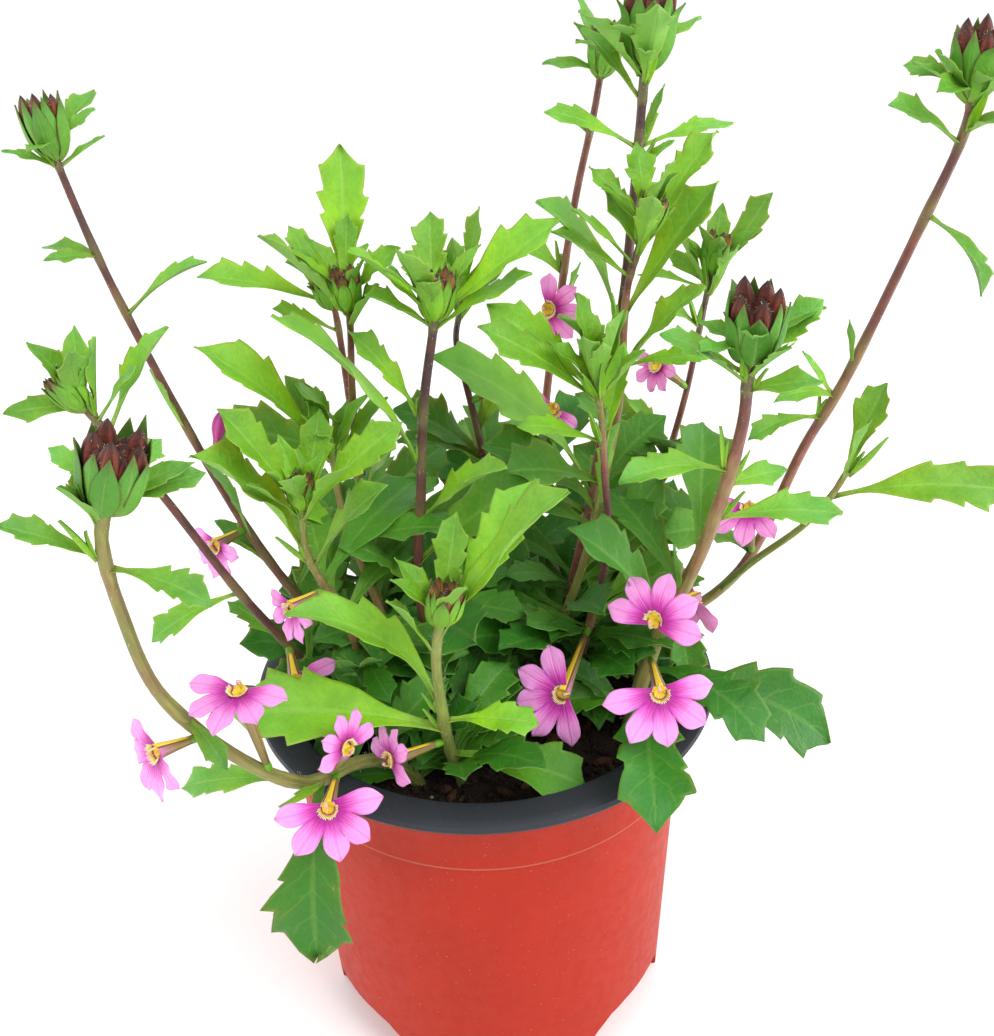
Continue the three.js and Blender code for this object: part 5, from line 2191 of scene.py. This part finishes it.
@dataclass(frozen=True)
class LeafFinish:
    """A leaf's finish: bright when young, deep green when old, paler below."""

    name: str = "leaf"
    edge: Coat = Coat(tint(150, 180, 80), 0.3)
    tip: Coat = Coat(tint(150, 180, 80), 0.0)
    below: Coat = Coat(tint(120, 156, 82), 0.36)
    warm: Tint = tint(134, 188, 8)
    cool: Tint = tint(102, 168, 70)
    old: Coat = Coat(tint(28, 102, 18), 0.94)
    foot: Coat = Coat(tint(146, 176, 66))
    patch: Coat = Coat(tint(60, 130, 16), 0.34)
    vein: Coat = Coat(tint(150, 190, 84), 0.1)
    midrib: Coat = Coat(tint(156, 192, 92))
    coolness: float = 0.7
    tip_coolness: float = 0.5
    patch_size: float = 0.006
    vein_pairs: float = 7.0
    levels: Range = (0.8, 1.12)
    fine_levels: Range = (-0.05, 0.06)
    roughness: Range = (0.44, 0.6)
    vein_depth: float = 0.25
    midrib_depth: float = 0.4
    relief: float = 0.2

    def make(self, groups: Groups) -> Material:
        """Makes the material."""
        finish = Finish(
            self.name,
            {"Subsurface Weight": 0.14, "Subsurface Scale": 0.0012, "Specular IOR Level": 0.3},
        )
        w = finish.w
        across, along, _ = w.place()
        patches = w.group(groups.mottle, size=self.patch_size)
        veins = w.group(groups.veins, across=across, along=along, pairs=self.vein_pairs)
        fine = patches.outputs["Fine"]
        grooves = w.sum("MULTIPLY", veins.outputs["Side"], self.vein_depth)
        relief = w.sum("SUBTRACT", w.span(fine, 0.4, 0.7), grooves)
        groove = w.sum("MULTIPLY", veins.outputs["Midrib"], self.midrib_depth)
        relief = w.sum("SUBTRACT", relief, groove)
        underside = w.growth()[2]
        rough = w.sum("ADD", w.span(underside, *self.roughness), w.span(fine, 0, 0.1))
        return finish.dress(self.green(w, along, patches, veins), rough, relief, self.relief)

    def green(
        self, w: Wiring, along: NodeSocket, patches: Node, veins: Node
    ) -> NodeSocket:
        """Lays the leaf's colours over each other.

        Args:
            w: the material's wiring.
            along: the share along the leaf.
            patches: its uneven patches.
            veins: its veins.

        Returns:
            The leaf's colour.
        """
        age, coolness, underside, chance = w.growth()
        young = w.sum("SUBTRACT", 1.0, age)
        tip = w.sum("MULTIPLY", w.ease(along, 0.35, 1.0), self.tip_coolness)
        cool = w.sum("ADD!", w.sum("MULTIPLY", coolness, self.coolness), tip)
        green = w.lay(w.mix(cool, self.warm, self.cool), self.old, age)
        green = w.lay(green, self.foot, w.sum("MULTIPLY", w.ease(along, 0.35, 0.0), young))
        green = w.lay(green, self.patch, patches.outputs["Broad"])
        uneven = w.span(patches.outputs["Fine"], *self.fine_levels)
        green = w.shade(green, w.sum("ADD", w.span(chance, *self.levels), uneven))
        green = w.lay(green, self.vein, veins.outputs["Side"])
        clear = w.sum("MULTIPLY", veins.outputs["Midrib"], w.span(young, 0.1, 0.3))
        green = w.lay(green, self.midrib, clear)
        rim = w.sum("MULTIPLY", veins.outputs["Edge"], w.span(young, 0.3, 1.0))
        green = w.lay(green, self.edge, rim)
        green = w.lay(green, self.tip, w.ease(along, 0.75, 1.0))
        return w.lay(green, self.below, underside)


@dataclass(frozen=True)
class StemFinish:
    """The stems' finish: green, browning to purple towards the tips, pale at the nodes."""

    browns: tuple[Stop, ...] = (
        (0.0, tint(112, 142, 44)), (0.35, tint(132, 124, 58)), (0.6, tint(140, 86, 66)),
        (0.8, tint(106, 54, 42)), (1.0, tint(64, 32, 36)),
    )
    node: Coat = Coat(tint(150, 160, 76), 0.26)
    patch_size: float = 0.005
    unevenness: Range = (-0.08, 0.08)
    lines: float = 9.0
    stretch: float = 0.2
    streak_levels: Range = (0.84, 1.08)
    levels: Range = (-0.03, 0.03)
    roughness: Range = (0.44, 0.58)
    relief: float = 0.12

    def make(self, groups: Groups) -> Material:
        """Makes the material."""
        finish = Finish(
            "stem", {"Subsurface Weight": 0.08, "Subsurface Scale": 0.001, "Sheen Weight": 0.12}
        )
        w = finish.w
        browning, node, _, chance = w.growth()
        around, along, _ = w.place()
        length = w.sum("MULTIPLY", along, self.stretch)
        streaks = w.group(groups.streaks, across=around, along=length, lines=self.lines)
        streak = streaks.outputs["Streak"]
        patches = w.group(groups.mottle, size=self.patch_size)
        uneven = w.span(patches.outputs["Broad"], *self.unevenness)
        colour = w.ramp(w.sum("ADD", browning, uneven), self.browns)
        colour = w.lay(colour, self.node, node)
        level = w.sum("ADD", w.span(streak, *self.streak_levels), w.span(chance, *self.levels))
        rough = w.span(streak, *self.roughness)
        return finish.dress(w.shade(colour, level), rough, streak, self.relief)


@dataclass(frozen=True)
class DownFinish:
    """The fine hairs' finish, nearly white, greener towards their feet."""

    tip: Tint = tint(226, 228, 206)
    foot: Coat = Coat(tint(186, 190, 140))
    patch_size: float = 0.004
    levels: Range = (0.9, 1.05)
    roughness: float = 0.55
    relief: float = 0.01

    def make(self, groups: Groups) -> Material:
        """Makes the material."""
        finish = Finish("down", {"Subsurface Weight": 0.2, "Subsurface Scale": 0.0005})
        w = finish.w
        fine = w.group(groups.mottle, size=self.patch_size).outputs["Fine"]
        colour = w.lay(self.tip, self.foot, w.ease(w.place()[1], 0.6, 0.0))
        colour = w.shade(colour, w.span(fine, *self.levels))
        return finish.dress(colour, self.roughness, fine, self.relief)


@dataclass(frozen=True)
class BudFinish:
    """The buds' finish: dark red-brown with a pale foot, and ribs painted redder and lighter than
    the hollows as a painted highlight.
    """

    dark: Tint = tint(78, 34, 24)
    rib: Tint = tint(134, 58, 38)
    young: Coat = Coat(tint(158, 118, 52))
    foot: Coat = Coat(tint(120, 120, 50))
    tip: Coat = Coat(tint(60, 34, 28))
    ribs: int = 5
    lines: float = 14.0
    patch_size: float = 0.002
    rib_highlight_strength: Range = (0.5, 1.0)
    youth_strength: Range = (0.35, 0.9)
    streak_levels: Range = (0.86, 1.1)
    roughness: Range = (0.45, 0.6)
    relief: float = 0.15

    def make(self, groups: Groups) -> Material:
        """Makes the material."""
        finish = Finish("bud", {"Sheen Weight": 0.06, "Specular IOR Level": 0.3})
        w = finish.w
        chance, youth, _, _ = w.growth()
        around, along, _ = w.place()
        # Painted highlight: the ribs get the lighter, redder colour, and the hollows between them
        # keep the dark one
        ribs = w.sum("MULTIPLY!", w.ridges(around, self.ribs), w.span(chance, *self.rib_highlight_strength))
        streaks = w.group(groups.streaks, across=around, along=along, lines=self.lines)
        streak = streaks.outputs["Streak"]
        fine = w.group(groups.mottle, size=self.patch_size).outputs["Fine"]
        youth = w.sum("MULTIPLY", youth, w.span(chance, *self.youth_strength))
        colour = w.lay(w.mix(ribs, self.dark, self.rib), self.young, youth)
        colour = w.lay(colour, self.foot, w.ease(along, 0.35, 0.0))
        colour = w.lay(colour, self.tip, w.ease(along, 0.75, 1.0))
        colour = w.shade(colour, w.span(streak, *self.streak_levels))
        relief = w.sum("ADD", streak, w.sum("MULTIPLY", fine, 0.5))
        return finish.dress(colour, w.span(fine, *self.roughness), relief, self.relief)


@dataclass(frozen=True)
class PetalFinish:
    """The petals' finish: pink, with deep magenta lines running out of the throat."""

    pinks: tuple[Stop, ...] = (
        (0.0, tint(148, 0, 126)), (0.2, tint(184, 14, 154)), (0.34, tint(222, 92, 196)),
        (0.52, tint(238, 142, 215)), (1.0, tint(243, 160, 222)),
    )
    line: Coat = Coat(tint(168, 0, 134), 0.9)
    faint_line: Coat = Coat(tint(218, 104, 194))
    midrib: Coat = Coat(tint(206, 80, 180), 0.2)
    edge: Coat = Coat(tint(214, 106, 190), 0.35)
    below: Coat = Coat(tint(226, 160, 206), 0.4)
    lines: float = 13.0
    stretch: float = 1.4
    vein_pairs: float = 7.0
    patch_size: float = 0.003
    levels: Range = (0.93, 1.04)
    fine_levels: Range = (-0.03, 0.03)
    roughness: Range = (0.45, 0.58)
    relief: float = 0.12

    def make(self, groups: Groups) -> Material:
        """Makes the material."""
        finish = Finish(
            "petal", {"Subsurface Weight": 0.22, "Subsurface Scale": 0.0012, "Sheen Weight": 0.15}
        )
        w = finish.w
        _, _, underside, chance = w.growth()
        across, along, _ = w.place()
        length = w.sum("MULTIPLY", along, self.stretch)
        streaks = w.group(groups.streaks, across=across, along=length, lines=self.lines)
        streak = streaks.outputs["Streak"]
        veins = w.group(groups.veins, across=across, along=along, pairs=self.vein_pairs)
        fine = w.group(groups.mottle, size=self.patch_size).outputs["Fine"]
        near = w.ease(along, 0.7, 0.15)
        colour = w.lay(w.ramp(along, self.pinks), self.line, w.sum("MULTIPLY", streak, near))
        far = w.sum("MULTIPLY", streak, w.span(near, 0.14, 0.0))
        colour = w.lay(colour, self.faint_line, far)
        colour = w.lay(colour, self.midrib, veins.outputs["Midrib"])
        colour = w.lay(colour, self.edge, veins.outputs["Edge"])
        colour = w.lay(colour, self.below, underside)
        level = w.sum("ADD", w.span(chance, *self.levels), w.span(fine, *self.fine_levels))
        relief = w.sum("SUBTRACT", w.sum("MULTIPLY", streak, 0.5), veins.outputs["Midrib"])
        rough = w.span(fine, *self.roughness)
        return finish.dress(w.shade(colour, level), rough, relief, self.relief)


@dataclass(frozen=True)
class TubeFinish:
    """The tube's finish: olive to pink outside, yellow with brown lines inside."""

    olive: Tint = tint(140, 124, 66)
    pink: Coat = Coat(tint(206, 112, 176))
    brown: Coat = Coat(tint(112, 72, 60), 0.35)
    slit_edge: Coat = Coat(tint(96, 56, 38))
    slit: Coat = Coat(tint(238, 200, 50))
    yellow: Tint = tint(240, 208, 50)
    ochre: Coat = Coat(tint(176, 120, 34), 0.3)
    lines: float = 16.0
    slit_place: float = 0.25
    roughness: Range = (0.5, 0.62)
    relief: float = 0.1

    def make(self, groups: Groups) -> Material:
        """Makes the material."""
        finish = Finish("flower_tube", {"Subsurface Weight": 0.15, "Subsurface Scale": 0.001})
        w = finish.w
        inside, along, _, _ = w.growth()
        around, length, _ = w.place()
        streaks = w.group(groups.streaks, across=around, along=length, lines=self.lines)
        streak = streaks.outputs["Streak"]
        outer = w.lay(self.olive, self.pink, w.ease(along, 0.35, 1.0))
        outer = w.lay(outer, self.brown, streak)
        from_slit = w.sum("ABSOLUTE", w.sum("SUBTRACT", around, self.slit_place))
        reach = w.ease(along, 0.1, 0.25)
        for coat, far, near in ((self.slit_edge, 0.125, 0.09), (self.slit, 0.08, 0.06)):
            outer = w.lay(outer, coat, w.sum("MULTIPLY", w.ease(from_slit, far, near), reach))
        inner = w.lay(self.yellow, self.ochre, streak)
        rough = w.span(streak, *self.roughness)
        return finish.dress(w.mix(inside, outer, inner), rough, streak, self.relief)


@dataclass(frozen=True)
class FringeFinish:
    """The finish of the cream fringe and the pale style."""

    hair_foot: Tint = tint(240, 208, 60)
    hair_tip: Coat = Coat(tint(250, 240, 190))
    style_foot: Tint = tint(206, 188, 120)
    style_tip: Coat = Coat(tint(214, 150, 180))
    patch_size: float = 0.002
    levels: Range = (0.92, 1.04)
    roughness: float = 0.5
    relief: float = 0.05

    def make(self, groups: Groups) -> Material:
        """Makes the material."""
        finish = Finish("fringe", {"Subsurface Weight": 0.15, "Subsurface Scale": 0.0008})
        w = finish.w
        along = w.place()[1]
        fine = w.group(groups.mottle, size=self.patch_size).outputs["Fine"]
        hairs = w.lay(self.hair_foot, self.hair_tip, w.ease(along, 0.0, 0.8))
        style = w.lay(self.style_foot, self.style_tip, w.ease(along, 0.5, 1.0))
        colour = w.shade(w.mix(w.growth()[0], hairs, style), w.span(fine, *self.levels))
        return finish.dress(colour, self.roughness, fine, self.relief)


@dataclass(frozen=True)
class ClosedPetalFinish:
    """The closed flower's finish: folded magenta petals over an olive foot, with painted shade in
    the grooves between the folds.
    """

    magentas: tuple[Stop, ...] = (
        (0.0, tint(150, 140, 70)), (0.3, tint(170, 84, 100)), (0.55, tint(196, 62, 146)),
        (1.0, tint(178, 52, 140)),
    )
    folds: int = 5
    lines: float = 15.0
    fold_shade_levels: Range = (0.8, 1.02)
    streak_levels: Range = (-0.06, 0.06)
    roughness: Range = (0.45, 0.6)
    relief: float = 0.15

    def make(self, groups: Groups) -> Material:
        """Makes the material."""
        finish = Finish("closed_petal", {"Subsurface Weight": 0.15, "Subsurface Scale": 0.001})
        w = finish.w
        around, along, _ = w.place()
        streaks = w.group(groups.streaks, across=around, along=along, lines=self.lines)
        streak = streaks.outputs["Streak"]
        folds = w.ridges(around, self.folds)
        # Painted shade: darker in the grooves between the folds, a little lighter on their ridges
        level = w.sum("ADD", w.span(folds, *self.fold_shade_levels), w.span(streak, *self.streak_levels))
        colour = w.shade(w.ramp(along, self.magentas), level)
        rough = w.span(streak, *self.roughness)
        return finish.dress(colour, rough, w.sum("ADD", folds, streak), self.relief)


@dataclass(frozen=True)
class PlasticFinish:
    """A moulded plastic: satin, slightly uneven, with faint drag lines, rubbed spots, dusty specks
    and a painted highlight along the seam.
    """

    name: str
    base: Tint
    worn: Coat
    dust_and_seam_highlight: Tint
    roughness: Range
    seam_highlight: float = 0.28
    patch_size: float = 0.016
    drag_lines: float = 26.0
    drag_rows: float = 14.0
    levels: Range = (0.95, 1.03)
    drag_levels: Range = (-0.05, 0.05)
    speck_strength: Range = (0.02, 0.3)
    relief: float = 0.05

    def make(self, groups: Groups) -> Material:
        """Makes the material."""
        finish = Finish(self.name, {"Specular IOR Level": 0.18})
        w = finish.w
        where = w.where()
        x, y, z = w.split(where)
        turn = w.sum("MULTIPLY", w.sum("ARCTAN2", y, x), self.drag_lines)
        drag = w.grain(w.join(turn, w.sum("MULTIPLY", z, self.drag_rows), 0.0), 1.0, 4)
        patches = w.group(groups.mottle, size=self.patch_size)
        fine = patches.outputs["Fine"]
        rubbed = w.ease(w.grain(where, 260.0, 5), 0.62, 0.74)
        specks = w.ease(w.grain(where, 1500.0, 1), 0.7, 0.78)
        uneven = w.span(patches.outputs["Broad"], *self.levels)
        colour = w.shade(self.base, w.sum("ADD", uneven, w.span(drag, *self.drag_levels)))
        colour = w.lay(colour, self.worn, rubbed)
        dusty = w.sum("MULTIPLY", specks, w.span(fine, *self.speck_strength))
        colour = w.mix(dusty, colour, self.dust_and_seam_highlight)
        # Painted highlight: a thin pale line along the seam's ledge, where it would catch the
        # light, in the same pale colour as the dusty specks
        from_seam = w.sum("ABSOLUTE", w.sum("SUBTRACT", z, SEAM_HEIGHT * MM))
        seam = w.ease(from_seam, 0.0005, 0.0002)
        colour = w.lay(colour, Coat(self.dust_and_seam_highlight, self.seam_highlight), seam)
        rough = w.sum("ADD", w.span(fine, *self.roughness), w.span(rubbed, 0, 0.12))
        relief = w.sum("ADD", w.grain(where, 2600.0, 2), w.sum("MULTIPLY", drag, 0.25))
        return finish.dress(colour, rough, relief, self.relief)


@dataclass(frozen=True)
class SoilFinish:
    """The soil's finish: damp peat, brown bark chips and a few pale grains."""

    wet_peat: Tint = tint(28, 21, 18)
    peat: Coat = Coat(tint(50, 37, 30))
    crumb: Coat = Coat(tint(66, 50, 38))
    bark: Coat = Coat(tint(84, 56, 36))
    grain: Coat = Coat(tint(196, 188, 170))
    patch_size: float = 0.005
    grain_scale: float = 1400.0
    roughness: Range = (0.8, 1.0)
    relief: float = 0.5

    def make(self, groups: Groups) -> Material:
        """Makes the material."""
        finish = Finish("potting_soil", {"Specular IOR Level": 0.3})
        w = finish.w
        kind = w.growth()[0]
        patches = w.group(groups.mottle, size=self.patch_size)
        fine = w.grain(w.where(), self.grain_scale, 5)
        colour = w.lay(self.wet_peat, self.peat, patches.outputs["Broad"])
        colour = w.lay(colour, self.crumb, w.ease(fine, 0.5, 0.7))
        colour = w.lay(colour, self.bark, w.ease(kind, 0.78, 0.82))
        colour = w.lay(colour, self.grain, w.ease(kind, 0.94, 0.96))
        relief = w.sum("ADD", fine, patches.outputs["Fine"])
        return finish.dress(colour, w.span(fine, *self.roughness), relief, self.relief)


BRACT_FINISH = LeafFinish(
    name="bract",
    edge=Coat(tint(84, 56, 34), 0.7),
    tip=Coat(tint(84, 56, 34), 0.5),
    below=Coat(tint(120, 156, 82), 0.08),
)
RED_PLASTIC = PlasticFinish(
    name="red_plastic",
    base=tint(164, 36, 11),
    worn=Coat(tint(180, 58, 32), 0.14),
    dust_and_seam_highlight=tint(190, 150, 130),
    roughness=(0.46, 0.56),
)
SLATE_PLASTIC = PlasticFinish(
    name="slate_plastic",
    base=tint(48, 51, 57),
    worn=Coat(tint(76, 82, 90), 0.14),
    dust_and_seam_highlight=tint(130, 120, 110),
    roughness=(0.42, 0.52),
)


@dataclass(frozen=True)
class PlantLooks:
    """The plant's materials."""

    leaf: Material
    bract: Material
    stem: Material
    down: Material
    bud: Material
    petal: Material
    tube: Material
    fringe: Material
    closed_petal: Material


@dataclass(frozen=True)
class Light:
    """A square light that faces the plant: its place and size in metres, and its power."""

    name: str
    place: Triple
    size: float
    power: float


@dataclass
class Studio:
    """A pale floor, soft light from all round and the camera."""

    floor_size: float = 30.0
    floor_tints: tuple[Tint, Tint] = (tint(250, 250, 250), tint(252, 252, 252))
    floor_patches: float = 0.2
    sky_strength: float = 1.06
    lights: tuple[Light, ...] = (
        Light("key", (0.55, -0.5, 0.9), 0.6, 7.0),
        Light("fill", (-0.7, -0.6, 0.5), 0.9, 1.5),
        Light("right_edge", (0.75, 0.1, 0.16), 0.4, 2.6),
        Light("left_edge", (-0.75, 0.1, 0.16), 0.4, 1.6),
    )
    lit_spot: Triple = (0, 0, 0.1)
    eye: Triple = (0.0045, -0.257, 0.285)
    pitch: float = 29.6
    roll: float = -2.4
    lens: float = 45.17
    sensor: float = 36
    clip: Range = (0.01, 60)
    picture: tuple[int, int] = (994, 1036)

    def build(self, groups: Groups) -> None:
        """Makes the floor, the lights and the camera."""
        self.make_floor(groups)
        self.make_world()
        for light in self.lights:
            self.make_light(light)
        self.make_camera()
        bpy.context.scene.view_settings.view_transform = "Standard"

    def make_floor(self, groups: Groups) -> None:
        """Makes the pale floor."""
        half = self.floor_size / 2
        mesh = bpy.data.meshes.new("studio_floor")
        corners = [(-half, -half, 0), (half, -half, 0), (half, half, 0), (-half, half, 0)]
        mesh.from_pydata(corners, [], [(0, 1, 2, 3)])
        finish = Finish("studio_floor", {"Specular IOR Level": 0.1})
        patches = finish.w.group(groups.mottle, size=self.floor_patches)
        pale = finish.w.mix(patches.outputs["Broad"], *self.floor_tints)
        mesh.materials.append(finish.dress(pale, 0.9, patches.outputs["Fine"], 0.02))
        floor = bpy.data.objects.new("studio_floor", mesh)
        bpy.context.scene.collection.objects.link(floor)

    def make_world(self) -> None:
        """Makes the even white surroundings."""
        world = bpy.data.worlds.new("studio")
        world.use_nodes = True
        sky = world.node_tree.nodes["Background"]
        sky.inputs["Color"].default_value = (1, 1, 1, 1)
        sky.inputs["Strength"].default_value = self.sky_strength
        bpy.context.scene.world = world

    def make_light(self, light: Light) -> None:
        """Makes one light."""
        lamp = bpy.data.lights.new(light.name, "AREA")
        lamp.size = light.size
        lamp.energy = light.power
        piece = bpy.data.objects.new(light.name, lamp)
        piece.location = light.place
        aim = Vector(self.lit_spot) - piece.location
        piece.rotation_euler = aim.to_track_quat("-Z", "Y").to_euler()
        bpy.context.scene.collection.objects.link(piece)

    def make_camera(self) -> None:
        """Makes the camera, which looks down at the pot's front."""
        scene = bpy.context.scene
        lens = bpy.data.cameras.new("camera")
        lens.lens = self.lens
        lens.sensor_width = self.sensor
        lens.clip_start, lens.clip_end = self.clip
        pitch, roll = math.radians(self.pitch), math.radians(self.roll)
        ahead = Vector((0, math.cos(pitch), -math.sin(pitch)))
        above = Vector((0, math.sin(pitch), math.cos(pitch)))
        right = Vector((1, 0, 0))
        across = right * math.cos(roll) + above * math.sin(roll)
        upright = above * math.cos(roll) - right * math.sin(roll)
        turn = Matrix((across, upright, -ahead)).transposed().to_4x4()
        camera = bpy.data.objects.new("camera", lens)
        camera.matrix_world = Matrix.Translation(self.eye) @ turn
        scene.collection.objects.link(camera)
        scene.camera = camera
        scene.render.resolution_x, scene.render.resolution_y = self.picture


def report(piece: Object) -> None:
    """Reports a finished piece."""
    LOG.info("%s: %d faces", piece.name, len(piece.data.polygons))


def main() -> None:
    """Makes the whole scene."""
    groups = Groups(make_mottle(), make_veins(), make_streaks())
    Studio().build(groups)
    report(NurseryPot().build(RED_PLASTIC.make(groups), SLATE_PLASTIC.make(groups)))
    report(PottingSoil().build((SoilFinish().make(groups),)))
    looks = PlantLooks(
        leaf=LeafFinish().make(groups),
        bract=BRACT_FINISH.make(groups),
        stem=StemFinish().make(groups),
        down=DownFinish().make(groups),
        bud=BudFinish().make(groups),
        petal=PetalFinish().make(groups),
        tube=TubeFinish().make(groups),
        fringe=FringeFinish().make(groups),
        closed_petal=ClosedPetalFinish().make(groups),
    )
    for name, shoot in STEMS.items():
        report(LeafyStem(name, looks, shoot).build())
        if shoot.head > 0:
            draw = random.Random(f"{SEED} {name} buds")
            report(BudHead(stem_line(name), shoot.head, draw).build(name, looks))
    for i, row in enumerate(FLOWERS):
        report(FanFlower(i + 1, row, looks).build())
    report(ClosedFlower(looks).build())


if __name__ == "__main__":
    main()
